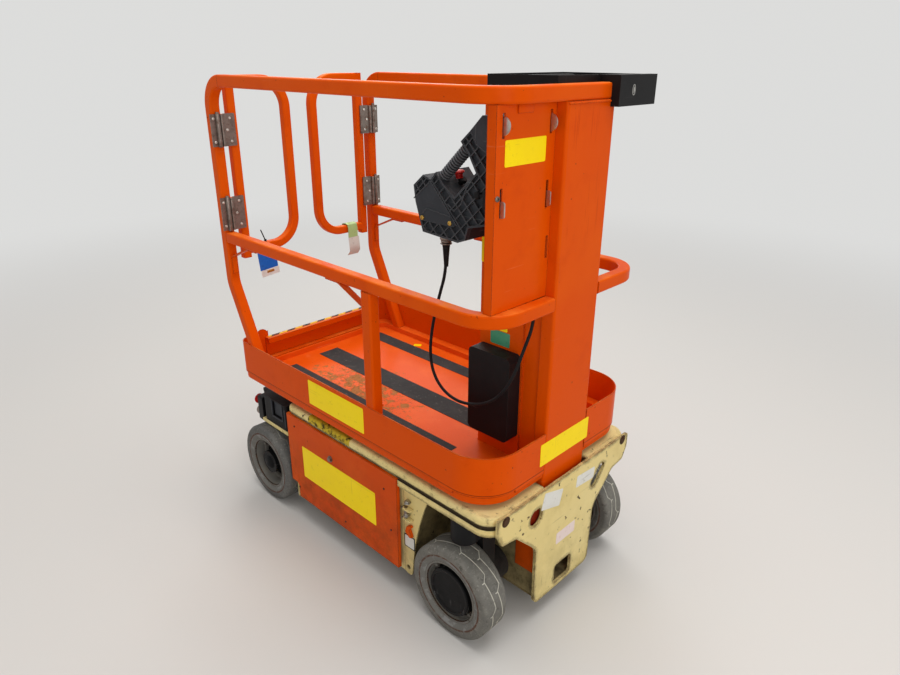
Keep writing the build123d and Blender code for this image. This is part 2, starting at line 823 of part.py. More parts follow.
# Toe board: one sheet round the platform, open at the mast and at the entry, its ends raised in round ears
kick_half_y = 262
ear_in_y = 245
ear_r = 28
ear_top = 690
tab_rear_x = 472
tab_high = toe_low - toe_tab_low
tab_mid_z = (toe_tab_low + toe_low) / 2
toe_high = toe_top - toe_tab_low
with BuildPart() as toe_board:
    with BuildSketch(Plane.XY.offset(toe_tab_low)):
        add(platform_outline(0, deck_rear_r))
        add(platform_outline(toe_t, deck_rear_r - toe_t), mode=Mode.SUBTRACT)
    extrude(amount=toe_high)
    for side in (1, -1):
        with BuildSketch(Plane.YZ.offset(deck_rear_x)):
            with Locations((side * (ear_in_y + ear_r), ear_top - ear_r)):
                Circle(ear_r)
        extrude(amount=toe_t)
    with Locations((deck_front_x, 0, toe_tab_low + toe_high / 2)):
        Box(4 * toe_t, 2 * mast_slot_y, toe_high, mode=Mode.SUBTRACT)
    with Locations((deck_rear_x, 0, toe_tab_low + toe_high / 2)):
        Box(4 * toe_t, 2 * ear_in_y, toe_top, mode=Mode.SUBTRACT)
    with Locations(((deck_rear_x + tab_rear_x) / 2, 0, tab_mid_z)):
        Box(tab_rear_x - deck_rear_x, 2 * toe_half_y, tab_high, mode=Mode.SUBTRACT)
    for side in (1, -1):
        with Locations((deck_front_x - deck_front_r / 2, side * (toe_half_y - deck_front_r / 2), tab_mid_z)):
            Box(deck_front_r, deck_front_r, tab_high, mode=Mode.SUBTRACT)
keep(toe_board, "toe_board")

# Kick plate across the entry, folded over at its top with a short lip, on its own foot
kick_top = 655
kick_depth = 29
kick_lip = 23
kick_x = deck_rear_x + toe_t + seat
kick_low = ledge_z + seat
with BuildPart() as kick_plate:
    with BuildSketch(Plane.XZ):
        with BuildLine():
            Polyline(
                (kick_x, kick_low),
                (kick_x, kick_top),
                (kick_x + kick_depth, kick_top),
                (kick_x + kick_depth, kick_top - kick_lip),
                (kick_x + kick_depth - toe_t, kick_top - kick_lip),
                (kick_x + kick_depth - toe_t, kick_top - toe_t),
                (kick_x + toe_t, kick_top - toe_t),
                (kick_x + toe_t, kick_low + toe_t),
                (kick_x + kick_depth, kick_low + toe_t),
                (kick_x + kick_depth, kick_low),
                close=True,
            )
        make_face()
    extrude(amount=kick_half_y, both=True)
keep(kick_plate, "kick_plate")

# Guard rails: one top rail round the platform, bent posts at the entry, mid rails to the mast's sides
rail_mid_y = rail_half_y - rail_tube_w / 2
rail_end_x = mast_out_x + 1 - rail_tube_w / 2
top_mid_z = top_rail_top - rail_tube_h / 2
mid_mid_z = mid_rail_top - rail_tube_h / 2
mid_rail_low = mid_rail_top - rail_tube_h
post_mid_x = post_outer_x + rail_tube_h / 2
bend_end_x = post_mid_x + post_bend_r
post_face_x = post_mid_x + rail_tube_h / 2

with BuildPart() as top_rail:
    with BuildLine():
        FilletPolyline(
            (bend_end_x, -rail_mid_y, top_mid_z),
            (rail_end_x, -rail_mid_y, top_mid_z),
            (rail_end_x, rail_mid_y, top_mid_z),
            (bend_end_x, rail_mid_y, top_mid_z),
            radius=rail_corner_r,
        )
    with BuildSketch(Plane(origin=(bend_end_x, -rail_mid_y, top_mid_z), x_dir=(0, 1, 0), z_dir=(1, 0, 0))):
        RectangleRounded(rail_tube_w, rail_tube_h, rail_tube_r)
    sweep()
keep(top_rail, "top_rail")

for side, hand in ((1, "left"), (-1, "right")):
    start = (post_face_x + seat, side * rail_mid_y, mid_mid_z)
    with BuildPart() as mid_rail:
        with BuildLine():
            FilletPolyline(
                start,
                (rail_end_x, side * rail_mid_y, mid_mid_z),
                (rail_end_x, side * mast_slot_y, mid_mid_z),
                radius=rail_corner_r,
            )
        with BuildSketch(Plane(origin=start, x_dir=(0, 1, 0), z_dir=(1, 0, 0))):
            RectangleRounded(rail_tube_w, rail_tube_h, rail_tube_r)
        sweep()
    keep(mid_rail, "mid_rail_" + hand)

# Each entry post leans from the ledge to its kink, stands up to the bend and turns into the top rail
for side, hand in ((1, "left"), (-1, "right")):
    with BuildPart() as entry_post:
        with BuildLine() as path:
            FilletPolyline(
                (2 * post_foot_x - post_mid_x, side * rail_mid_y, 2 * ledge_z - post_kink_z),
                (post_mid_x, side * rail_mid_y, post_kink_z),
                (post_mid_x, side * rail_mid_y, top_mid_z),
                (bend_end_x - seat, side * rail_mid_y, top_mid_z),
                radius=[post_kink_r, post_bend_r - 1],
            )
        with BuildSketch(Plane(origin=path.line @ 0, x_dir=(0, 1, 0), z_dir=path.line % 0)):
            RectangleRounded(rail_tube_w, rail_tube_h, rail_tube_r)
        sweep()
        with Locations((post_foot_x, side * rail_mid_y, 0)):
            Box(-2 * post_foot_x, 2 * rail_tube_w, 2 * (ledge_z + seat), mode=Mode.SUBTRACT)
    keep(entry_post, "entry_post_" + hand)

with BuildPart() as mid_posts:
    for side in (1, -1):
        with BuildSketch(Plane.XY.offset(ledge_z + seat)):
            with Locations((mid_post_x, side * rail_mid_y)):
                RectangleRounded(mid_post_w, rail_tube_w, rail_tube_r)
        extrude(amount=mid_rail_low - ledge_z - 2 * seat)
keep(mid_posts, "mid_posts")

# Bent flat braces under the mid rails: face of the post, direction along the rail
brace_t = 6
brace_w = 20
brace_low = 943
brace_bend_z = 1010
brace_reach = 120
brace_foot = 65
brace_table = [(post_face_x + seat, 1), (mid_post_x - mid_post_w / 2 - seat, -1)]
with BuildPart() as rail_braces:
    for side in (1, -1):
        for x, way in brace_table:
            with BuildSketch(Plane.XZ.offset(-side * rail_mid_y)):
                with BuildLine():
                    Polyline(
                        (x, brace_low),
                        (x, brace_bend_z),
                        (x + way * brace_reach, mid_rail_low - seat),
                        (x + way * (brace_reach + brace_foot), mid_rail_low - seat),
                        (x + way * (brace_reach + brace_foot), mid_rail_low - seat - brace_t),
                        (x + way * (brace_reach + brace_t / 2), mid_rail_low - seat - brace_t),
                        (x + way * brace_t, brace_bend_z - brace_t / 2),
                        (x + way * brace_t, brace_low),
                        close=True,
                    )
                make_face()
            extrude(amount=brace_w / 2, both=True)
keep(rail_braces, "rail_braces")

# Hinge leaves on the entry posts, with the lower half of each barrel
leaf_rise = 7
leaf_drop = 130
low_leaf_high = 120
top_leaf_high = 110
low_leaf_z = mid_rail_top + leaf_rise
top_leaf_z = top_rail_top - leaf_drop
leaf_rows = [(low_leaf_z, low_leaf_z + low_leaf_high), (top_leaf_z - top_leaf_high, top_leaf_z)]
leaf_x = post_face_x + seat
hinge_axis_x = leaf_x + leaf_t + 3
leaf_near_y = hinge_pin_r + 1
gate_x = leaf_x - gate_tube / 2


# One leaf of a hinge: its plate, its half of the barrel and the web between them
def hinge_leaf(side, outward, low, high, barrel_low):
    half = (high - low) / 2
    plate_mid_y = gate_hinge_y + outward * (leaf_near_y + leaf_w / 2)
    web_mid_y = gate_hinge_y + outward * leaf_near_y / 2
    with BuildPart(mode=Mode.PRIVATE) as leaf:
        with Locations((leaf_x + leaf_t / 2, side * plate_mid_y, (low + high) / 2)):
            Box(leaf_t, leaf_w, high - low)
        with Locations((hinge_axis_x, side * gate_hinge_y, barrel_low + half / 2)):
            Cylinder(hinge_pin_r, half - seat)
        with Locations((leaf_x + leaf_t / 2, side * web_mid_y, barrel_low + half / 2)):
            Box(leaf_t, leaf_near_y, half - seat)
    return leaf.part


with BuildPart() as post_hinges:
    for side in (1, -1):
        for low, high in leaf_rows:
            add(hinge_leaf(side, 1, low, high, low))
keep(post_hinges, "post_hinges")

# Entry gates: a bent loop on an upright, with the moving hinge leaves
for side, hand in ((1, "left"), (-1, "right")):
    start = (gate_x, side * gate_post_y, top_mid_z)
    with BuildPart() as gate:
        with BuildLine():
            FilletPolyline(
                start,
                (gate_x, side * gate_free_y, top_mid_z),
                (gate_x, side * gate_free_y, gate_low_z),
                (gate_x, side * gate_post_y, gate_low_z),
                radius=gate_corner_r,
            )
        with BuildSketch(Plane(origin=start, x_dir=(1, 0, 0), z_dir=(0, -side, 0))):
            RectangleRounded(gate_tube, gate_tube, gate_tube_r)
        sweep()
        with BuildSketch(Plane.XY.offset(gate_foot_z)):
            with Locations((gate_x, side * gate_post_y)):
                RectangleRounded(gate_tube, gate_tube, gate_tube_r)
        extrude(amount=top_mid_z + gate_tube / 2 - gate_foot_z)
        for low, high in leaf_rows:
            add(hinge_leaf(side, -1, low, high, (low + high) / 2))
    keep(gate, "gate_" + hand)

# End panel beside the mast, between the rails, with a folded edge and slots
panel_y0 = -336
panel_x = 622
panel_fold = 26
panel_low_z = mid_rail_top + seat
panel_high_z = top_rail_top - rail_tube_h - seat
panel_high = panel_high_z - panel_low_z
panel_mid_z = panel_low_z + panel_high / 2
panel_slot_w = 8
panel_slots = [(-310, 1563, 56), (-128, 1563, 56), (-312, 1385, 70), (-130, 1385, 70), (-118, 1243, 60)]
with BuildPart() as end_panel:
    with BuildSketch(Plane.YZ.offset(panel_x)):
        with Locations(((panel_y0 - mast_slot_y) / 2, panel_mid_z)):
            Rectangle(-mast_slot_y - panel_y0, panel_high)
        for y, z, height in panel_slots:
            with Locations((y, z)):
                Rectangle(panel_slot_w, height, mode=Mode.SUBTRACT)
    extrude(amount=toe_t)
    with Locations((panel_x - (panel_fold - toe_t) / 2, panel_y0 + toe_t / 2, panel_mid_z)):
        Box(panel_fold, toe_t, panel_high)
keep(end_panel, "end_panel")

# Tool tray on the mast's top, with a box hooked over the top rail
tray_y0 = -104
tray_y1 = 240
tray_low = cover_top + seat
tray_rise = 18
tray_high = top_rail_top + tray_rise
tray_wall = 4
tray_in_x = mast_in_x + 6
tray_out_x = rail_end_x - rail_tube_w / 2 - seat
hook_y0 = 80
hook_y1 = 266
hook_x = end_plate_x
hook_drop = 60
hook_low = top_rail_top - hook_drop
hook_in_x = rail_end_x + rail_tube_w / 2 + seat
lid_low = top_rail_top + seat
tray_mid_y = (tray_y0 + tray_y1) / 2
lid_x0 = tray_out_x - tray_wall
with BuildPart() as tool_tray:
    with BuildSketch(Plane.XY.offset(tray_low)):
        with Locations(((tray_in_x + tray_out_x) / 2, tray_mid_y)):
            Rectangle(tray_out_x - tray_in_x, tray_y1 - tray_y0)
    extrude(amount=tray_wall)
    with BuildSketch(Plane.XY.offset(tray_low)):
        with Locations(((tray_in_x + tray_out_x) / 2, tray_mid_y)):
            Rectangle(tray_out_x - tray_in_x, tray_y1 - tray_y0)
            Rectangle(
                tray_out_x - tray_in_x - 2 * tray_wall,
                tray_y1 - tray_y0 - 2 * tray_wall,
                mode=Mode.SUBTRACT,
            )
    extrude(amount=tray_high - tray_low)
    with Locations(((lid_x0 + hook_x) / 2, (hook_y0 + tray_y1) / 2, (lid_low + tray_high) / 2)):
        Box(hook_x - lid_x0, tray_y1 - hook_y0, tray_high - lid_low)
    with Locations(((hook_in_x + hook_x) / 2, (hook_y0 + hook_y1) / 2, (hook_low + tray_high) / 2)):
        Box(hook_x - hook_in_x, hook_y1 - hook_y0, tray_high - hook_low)
keep(tool_tray, "tool_tray")

# Document box on the mast's side
manual_x0 = mast_in_x + 6
manual_w = 160
manual_x1 = manual_x0 + manual_w
manual_y = 160
manual_z0 = 620
manual_z1 = 900
manual_r = 16
with BuildPart() as manual_box:
    with BuildSketch(Plane.XZ.offset(mast_slot_y)):
        with Locations(((manual_x0 + manual_x1) / 2, (manual_z0 + manual_z1) / 2)):
            RectangleRounded(manual_x1 - manual_x0, manual_z1 - manual_z0, manual_r)
    extrude(amount=manual_y - mast_slot_y)
keep(manual_box, "manual_box")

# Controller hung on the end panel: a ribbed half shell in front, a plain one with the joystick behind it
control_y0 = -265
control_y1 = -135
catch_depth = 14
catch_width = 80
catch_height = 60
catch_z = 1440
catch_sunk = 2
back_x = panel_x - seat - catch_depth
grip_low = (371, 1411)
grip_high = (461, 1497)
controller_outline = [
    (back_x, 1580),
    (520, 1578),
    (478, 1537),
    (448, 1511),
    (474, 1483),
    (502, 1438),
    (426, 1366),
    (384, 1397),
    (358, 1425),
    (338, 1403),
    (308, 1412),
    (270, 1380),
    (277, 1335),
    (305, 1254),
    (440, 1246),
    (466, 1256),
    (478, 1292),
    (back_x, 1325),
]
shell_depth = 12
shell_floor = 3
shell_rim = 5
controller_mid_y = (control_y0 + control_y1) / 2
joystick_x = 345
joystick_z = 1335
boot_r = 20
boot_height = 18
boot_taper = 30
stick_r = 5
stick_height = 44
knob_r = 10
button_r = 8
button_height = 5
button_row = [(300, 1300), (322, 1296), (395, 1290), (420, 1290)]
with BuildPart() as controller:
    with BuildSketch(Plane.XZ.offset(-control_y0 - shell_depth - seat)):
        with BuildLine():
            Polyline(*controller_outline, close=True)
        make_face()
    extrude(amount=control_y0 + shell_depth + seat - control_y1)
    with Locations((back_x + (catch_depth - catch_sunk) / 2, controller_mid_y, catch_z)):
        Box(catch_depth + catch_sunk, catch_width, catch_height)
    with BuildSketch(Plane.XZ.offset(-control_y1)):
        with Locations((joystick_x, joystick_z)):
            Circle(boot_r)
    extrude(amount=-boot_height, taper=boot_taper)
    with BuildSketch(Plane.XZ.offset(-control_y1)):
        with Locations((joystick_x, joystick_z)):
            Circle(stick_r)
    extrude(amount=-stick_height)
    with Locations((joystick_x, control_y1 + stick_height, joystick_z)):
        Sphere(knob_r)
    with BuildSketch(Plane.XZ.offset(-control_y1)):
        with Locations(*button_row):
            Circle(button_r)
    extrude(amount=-button_height)
keep(controller, "controller")

# Ribbed half shell: a rim, a diamond lattice of ribs and two smooth panels, with the bellows of the grip
lattice_angle = 43.7
lattice_pitch = 29
lattice_count = 15
lattice_reach = 500
rib_t = 3
smooth_panels = [
    [(337, 1398), (272, 1344), (294, 1286), (424, 1286), (433, 1296)],
    [(478, 1537), (520, 1578), (back_x, 1580), (back_x, 1510), (528, 1494), (500, 1512)],
]
grip_y = -247
grip_core_r = 12
grip_ring_r = 15
grip_ring_t = 4.8
grip_pitch = 9
grip_rings = 13
grip_run = Vector(grip_high[0] - grip_low[0], 0, grip_high[1] - grip_low[1])
grip_plane = Plane(origin=(grip_low[0], grip_y, grip_low[1]), x_dir=(0, 1, 0), z_dir=grip_run)
grip_first = (grip_run.length - (grip_rings - 1) * grip_pitch - grip_ring_t) / 2
with BuildPart() as controller_shell:
    with BuildSketch(Plane.XZ.offset(-control_y0)):
        with BuildLine():
            Polyline(*controller_outline, close=True)
        make_face()
    extrude(amount=-shell_depth)
    with BuildSketch(Plane.XZ.offset(-control_y0)):
        with BuildLine():
            Polyline(*controller_outline, close=True)
        make_face()
        offset(amount=-shell_rim, kind=Kind.INTERSECTION)
        for panel in smooth_panels:
            with BuildLine():
                Polyline(*panel, close=True)
            make_face(mode=Mode.SUBTRACT)
        with Locations(Location((*grip_low, 0), (0, 0, lattice_angle))):
            with GridLocations(lattice_pitch, lattice_pitch, 1, lattice_count):
                Rectangle(lattice_reach, rib_t, mode=Mode.SUBTRACT)
            with GridLocations(lattice_pitch, lattice_pitch, lattice_count, 1):
                Rectangle(rib_t, lattice_reach, mode=Mode.SUBTRACT)
    extrude(amount=-(shell_depth - shell_floor), mode=Mode.SUBTRACT)
    with BuildSketch(grip_plane.offset(seat)):
        Circle(grip_core_r)
    extrude(amount=grip_run.length - 2 * seat)
    for ring in range(grip_rings):
        with BuildSketch(grip_plane.offset(grip_first + ring * grip_pitch)):
            Circle(grip_ring_r)
        extrude(amount=grip_ring_t)
keep(controller_shell, "controller_shell")

# Stop button on the hand hole's lower wall
button_foot = (392, 1391)
button_y = -205
button_lean = (31, 0, 42)
stem_r = 7
stem_height = 10
head_r = 12
head_height = 9
head_edge_r = 3
stop_plane = Plane(origin=(button_foot[0], button_y, button_foot[1]), x_dir=(0, 1, 0), z_dir=button_lean)
with BuildPart() as controller_stop:
    with BuildSketch(stop_plane.offset(seat)):
        Circle(stem_r)
    extrude(amount=stem_height)
    with BuildSketch(stop_plane.offset(seat + stem_height)):
        Circle(head_r)
    extrude(amount=head_height)
    above = stop_plane.offset(2 * (stem_height + head_height)).origin
    circles = controller_stop.edges().filter_by(GeomType.CIRCLE).sort_by_distance(above)
    fillet(circles[0], head_edge_r)
keep(controller_stop, "controller_stop")

# Cord: plug under the controller, a hanging bight, and a gland on the mast's side
cord_r = 4.75
plug_x = 334
plug_y = -200
plug_low = 1188
plug_cone = 30
plug_high = 1244
plug_tip_r = 9
plug_r = 14
gland_x = 604
gland_y = -124
gland_z = 1074
gland_r = 10
gland_length = 16
gland_foot = 20
with BuildPart() as cord_plug:
    with BuildSketch(Plane.XY.offset(plug_low)):
        with Locations((plug_x, plug_y)):
            Circle(plug_tip_r)
    extrude(amount=plug_cone, taper=-6)
    with BuildSketch(Plane.XY.offset(plug_low + plug_cone)):
        with Locations((plug_x, plug_y)):
            Circle(plug_r)
    extrude(amount=plug_high - plug_low - plug_cone)
keep(cord_plug, "cord_plug")

gland_in_y = mast_half_y - groove_depth + seat
gland_out_y = -gland_y + gland_r + 2
with BuildPart() as cord_gland:
    with BuildSketch(Plane.XY.offset(gland_z)):
        with Locations((gland_x, gland_y)):
            Circle(gland_r)
    extrude(amount=gland_length)
    with Locations((gland_x, -(gland_in_y + gland_out_y) / 2, gland_z + gland_length + gland_foot / 2)):
        Box(gland_foot, gland_out_y - gland_in_y, gland_foot)
keep(cord_gland, "cord_gland")

# The cord's route from the plug to the gland, in runs that suit its bends
cord_route = [
    (plug_x, plug_y, plug_low - seat),
    (plug_x, plug_y, 1130),
    (306, -203, 1042),
    (281, -205, 950),
    (268, -205, 862),
    (278, -204, 790),
    (316, -203, 742),
    (372, -202, 722),
    (434, -202, 728),
    (500, -201, 754),
    (556, -198, 802),
    (590, -184, 872),
    (603, -162, 950),
    (gland_x, gland_y, 1016),
    (gland_x, gland_y, gland_z - seat),
]


def bend_radii(route):
    radii = []
    for before, here, after in zip(route, route[1:], route[2:]):
        run_in = Vector(*here) - Vector(*before)
        run_out = Vector(*after) - Vector(*here)
        turn = run_in.get_angle(run_out)
        radii.append(0.45 * min(run_in.length, run_out.length) / tan(radians(turn) / 2))
    return radii


cord_radii = bend_radii(cord_route)
with BuildPart() as controller_cord:
    with BuildLine() as path:
        FilletPolyline(*cord_route, radius=cord_radii)
    with BuildSketch(Plane(origin=path.line @ 0, z_dir=path.line % 0)):
        Circle(cord_r)
    sweep()
keep(controller_cord, "controller_cord")
cord_length = sum(edge.length for edge in path.edges())
print("cord length", round(cord_length, 1), "radii", [round(r) for r in cord_radii])
print("cord volume ratio", round(controller_cord.part.volume / (pi * cord_r**2 * cord_length), 4))
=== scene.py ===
import bpy
import bmesh
import math
import random
from mathutils import Matrix, Vector


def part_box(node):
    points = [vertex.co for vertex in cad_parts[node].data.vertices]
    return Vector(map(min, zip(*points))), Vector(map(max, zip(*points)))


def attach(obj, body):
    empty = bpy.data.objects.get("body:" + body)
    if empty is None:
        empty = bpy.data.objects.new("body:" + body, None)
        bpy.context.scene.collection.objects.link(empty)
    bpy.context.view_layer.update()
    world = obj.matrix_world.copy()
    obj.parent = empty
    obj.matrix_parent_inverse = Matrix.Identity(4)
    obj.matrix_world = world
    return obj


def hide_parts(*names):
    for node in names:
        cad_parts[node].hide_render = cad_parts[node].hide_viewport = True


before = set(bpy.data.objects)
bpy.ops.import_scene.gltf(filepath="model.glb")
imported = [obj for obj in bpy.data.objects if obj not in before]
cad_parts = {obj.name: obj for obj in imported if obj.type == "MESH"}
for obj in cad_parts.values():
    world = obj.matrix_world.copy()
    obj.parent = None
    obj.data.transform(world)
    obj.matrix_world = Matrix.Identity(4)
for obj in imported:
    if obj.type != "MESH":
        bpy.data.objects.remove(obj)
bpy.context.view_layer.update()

dice = random.Random(7)

# Camera fitted to the photo's edges, in metres and degrees; the focal length is in pixels of a frame this wide
view = {"place": (1.66, -1.55, 1.711), "azimuth": 44.12, "down": 22.69, "roll": 0.27, "focal": 674,
        "frameWidth": 900, "sensor": 36}


def makeCamera():
    cam = bpy.data.cameras.new("camera")
    cam.sensor_width = view["sensor"]
    cam.lens = view["focal"] / view["frameWidth"] * cam.sensor_width
    obj = bpy.data.objects.new("camera", cam)
    bpy.context.scene.collection.objects.link(obj)
    turn = Matrix.Rotation(math.radians(view["azimuth"]), 4, "Z")
    tilt = Matrix.Rotation(math.radians(90 - view["down"]), 4, "X")
    roll = Matrix.Rotation(math.radians(view["roll"]), 4, "Z")
    obj.matrix_world = Matrix.Translation(view["place"]) @ turn @ tilt @ roll
    bpy.context.scene.camera = obj


makeCamera()
bpy.context.scene.view_settings.view_transform = "Standard"
print("camera set")


def tone(red, green, blue):  # a colour read off the screen, made linear
    def channel(value):
        value /= 255
        return value / 12.92 if value <= 0.04045 else ((value + 0.055) / 1.055) ** 2.4
    return (channel(red), channel(green), channel(blue), 1)


class Wire:  # a socket that adds, subtracts and multiplies as a number does
    def __init__(self, tree, socket=None):
        self.tree = tree
        self.socket = socket

    def node(self, kind, settings={}, inputs={}, out=0):
        made = self.tree.nodes.new("ShaderNode" + kind)
        for name, value in settings.items():
            setattr(made, name, value)
        for name, value in inputs.items():
            if isinstance(value, Wire):
                self.tree.links.new(value.socket, made.inputs[name])
            else:
                made.inputs[name].default_value = value
        return Wire(self.tree, made.outputs[out] if len(made.outputs) else None)

    def math(self, operation, *others):
        return self.node("Math", {"operation": operation}, dict(enumerate((self, *others))))

    def __add__(self, other):
        return self.math("ADD", other)

    def __sub__(self, other):
        return self.math("SUBTRACT", other)

    def __rsub__(self, other):
        return self.node("Math", {"operation": "SUBTRACT"}, {0: other, 1: self})

    def __mul__(self, other):
        return self.math("MULTIPLY", other)

    __radd__, __rmul__ = __add__, __mul__

    def __abs__(self):
        return self.math("ABSOLUTE")

    def most(self, other):
        return self.math("MAXIMUM", other)

    def least(self, other):
        return self.math("MINIMUM", other)

    def between(self, low, high):  # 0 below low, 1 above high, smooth between
        return self.node("MapRange", {"interpolation_type": "SMOOTHSTEP"},
                         {"Value": self, "From Min": low, "From Max": high})

    def part(self, axis):  # x, y or z of a vector
        return self.node("SeparateXYZ", {}, {"Vector": self}, axis.upper())

    def scaled(self, size):  # a vector with each part multiplied
        return self.node("VectorMath", {"operation": "MULTIPLY"}, {0: self, 1: size})

    def noise(self, scale, detail=3, rough=0.5, warp=0):
        return self.node("TexNoise", {}, {"Vector": self, "Scale": scale, "Detail": detail, "Roughness": rough,
                                          "Distortion": warp})

    def flat(self, colour):  # one colour for others to lie over
        made = self.node("RGB")
        made.socket.default_value = colour
        return made

    def over(self, mask, upper):  # this colour with another laid over it where the mask is 1
        return self.node("Mix", {"data_type": "RGBA"}, {0: mask, 6: self, 7: upper}, 2)


def newFinish(name):
    mat = bpy.data.materials.new(name)
    mat.use_nodes = True
    mat.node_tree.nodes.clear()
    start = Wire(mat.node_tree)
    return mat, start, start.node("TexCoord", {}, {}, "Object")


def shadeWith(mat, start, colour, rough, height, depth, metal=0.0, fixed={}):
    inputs = {"Base Color": colour, "Roughness": rough, "Metallic": metal, "Specular IOR Level": 0.12, **fixed}
    inputs["Normal"] = start.node("Bump", {}, {"Height": height, "Distance": depth, "Strength": 1.0})
    start.node("OutputMaterial", {}, {"Surface": start.node("BsdfPrincipled", {}, inputs)})
    return mat


def clearCoat(shine, gloss):  # values that are the same all over a painted piece
    return {"Specular IOR Level": shine, "Coat Weight": gloss, "Coat Roughness": 0.2, "Coat IOR": 1.25}


def edgeWear(start, radius):  # 0 on flat faces, rising to about 1 on outer and inner edges
    soft = start.node("Bevel", {"samples": 4}, {"Radius": radius})
    plain = start.node("NewGeometry", {}, {}, "Normal")
    return (1 - start.node("VectorMath", {"operation": "DOT_PRODUCT"}, {0: soft, 1: plain}, "Value")) * 3.4


def facing(start, axis):
    return start.node("NewGeometry", {}, {}, "Normal").part(axis)


def scratches(spot, level):  # thin straight lines in two directions, broken up by a slow noise
    first = spot.scaled((3, 3, 190)).noise(1.0, 2, 0.5, 0.25).between(level, level + 0.02)
    second = spot.scaled((150, 120, 4)).noise(1.0, 2, 0.5, 0.2).between(level + 0.02, level + 0.035)
    first = first * spot.noise(6, 3, 0.6).between(0.5, 0.64)
    return first.most(second * spot.noise(4.3, 3, 0.6).between(0.53, 0.66))


# Painted steel: the coat fades and stains in patches, chips on its edges and carries thin scratches
def paintedSteel(name, look):
    mat, start, spot = newFinish(name)
    z = spot.part("z")
    faded = spot.noise(look["patch"], 4, 0.6).between(0.42, 0.68)
    colour = start.flat(look["coat"]).over(faded * look["fade"], look["faded"])
    stain = spot.noise(look["patch"] * 2.7, 5, 0.65).between(0.5, 0.8)
    colour = colour.over(stain * look["stain"], look["stained"])
    dust = facing(start, "z").between(0.5, 0.95) * spot.noise(9, 5, 0.6).between(0.35, 0.75) * look["dust"]
    colour = colour.over(dust, look["dusty"])
    low = (1 - z.between(look["splashLow"], look["splashHigh"])) * spot.noise(17, 6, 0.7).between(0.3, 0.7)
    colour = colour.over(low * look["splash"], look["dirt"])
    scratch = scratches(spot, look["scratchFrom"])
    colour = colour.over(scratch * look["scratch"], look["scratched"])

    edge = edgeWear(start, look["edge"])  # chips: ragged along the edges, small flecks on the faces
    ragged = (spot.noise(look["chipScale"], look["chipFine"], 0.72) - 0.5) * look["ragged"]
    rim = (edge + ragged).between(look["chipFrom"], look["chipFrom"] + 0.12) * edge.between(0.03, 0.16)
    fleck = spot.noise(look["fleckScale"], 3, 0.55).between(look["fleckFrom"], look["fleckFrom"] + 0.03)
    chips = rim.most(fleck * spot.noise(5, 3, 0.6).between(0.42, 0.62))
    rust = spot.noise(60, 4, 0.7).between(0.4, 0.6)
    colour = colour.over(chips, start.flat(look["bare"]).over(rust, look["rust"]))

    for lowZ, highZ, fromX, amount in look.get("shadeBands", []):  # painted shade: dark lines along grooves and under folded edges, from one x on
        line = z.between(lowZ, lowZ + 0.0012) * (1 - z.between(highZ - 0.0012, highZ))
        line = line * spot.part("x").between(fromX, fromX + 0.03)
        gaps = spot.noise(11, 5, 0.7).between(0.56, 0.7) * 0.6
        colour = colour.over(line * (1 - gaps) * amount, look["shadeBandTone"])
    if "streak" in look:  # runs of stain down the upper part
        streak = spot.scaled((170, 170, 5)).noise(1.0, 3, 0.6, 0.2).between(0.57, 0.63)
        streak = streak * spot.noise(4, 3, 0.6).between(0.46, 0.6)
        colour = colour.over(streak * z.between(1.1, 1.5) * look["streak"], look["stained"])
    rough = look["rough"] + faded * 0.08 + dust * 0.3 + low * 0.25 + chips * 0.2
    height = (1 - chips) * 0.6 + spot.noise(420, 2, 0.5) * look["peel"] - scratch * 0.12
    return shadeWith(mat, start, colour, rough, height, 0.0006, fixed=clearCoat(look["shine"], look["gloss"]))


orangeLook = {
    "coat": tone(218, 78, 0), "faded": tone(224, 90, 8), "stained": tone(194, 58, 0), "dusty": tone(244, 142, 56),
    "dirt": tone(96, 58, 38), "rust": tone(76, 34, 18), "bare": tone(52, 34, 28), "scratched": tone(236, 150, 104),
    "patch": 2.2, "fade": 0.6, "stain": 0.5, "dust": 0.55, "splashLow": 0.1, "splashHigh": 0.5, "splash": 0.25,
    "edge": 0.005, "chipScale": 70, "chipFine": 6, "chipFrom": 0.7, "ragged": 1.7, "fleckScale": 80,
    "fleckFrom": 0.705, "scratchFrom": 0.7, "scratch": 0.22,
    "rough": 0.34, "peel": 0.08, "gloss": 0.05, "shine": 0.04,
}
creamLook = {
    "coat": tone(226, 204, 136), "faded": tone(232, 214, 154), "stained": tone(198, 174, 108),
    "dusty": tone(212, 194, 146), "dirt": tone(92, 80, 58), "rust": tone(74, 44, 26), "bare": tone(48, 40, 34),
    "scratched": tone(120, 104, 72),
    "patch": 3.1, "fade": 0.5, "stain": 0.5, "dust": 0.25, "splashLow": 0.05, "splashHigh": 0.46, "splash": 0.4,
    "edge": 0.005, "chipScale": 52, "chipFine": 6, "chipFrom": 0.46, "ragged": 1.7, "fleckScale": 70,
    "fleckFrom": 0.68, "scratchFrom": 0.665, "scratch": 0.5,
    "rough": 0.4, "peel": 0.1, "gloss": 0.08, "shine": 0.1,
}
blackLook = {
    "coat": tone(22, 22, 23), "faded": tone(32, 32, 33), "stained": tone(15, 15, 15), "dusty": tone(62, 59, 54),
    "dirt": tone(88, 80, 70), "rust": tone(84, 52, 34), "bare": tone(80, 76, 72), "scratched": tone(104, 102, 100),
    "patch": 6, "fade": 0.5, "stain": 0.4, "dust": 0.3, "splashLow": 0.05, "splashHigh": 0.4, "splash": 0.45,
    "edge": 0.003, "chipScale": 60, "chipFine": 6, "chipFrom": 0.75, "ragged": 1.7, "fleckScale": 90,
    "fleckFrom": 0.72, "scratchFrom": 0.69, "scratch": 0.5,
    "rough": 0.48, "peel": 0.12, "gloss": 0.04, "shine": 0.12,
}
bigChips = {"chipFine": 2, "ragged": 4.2}
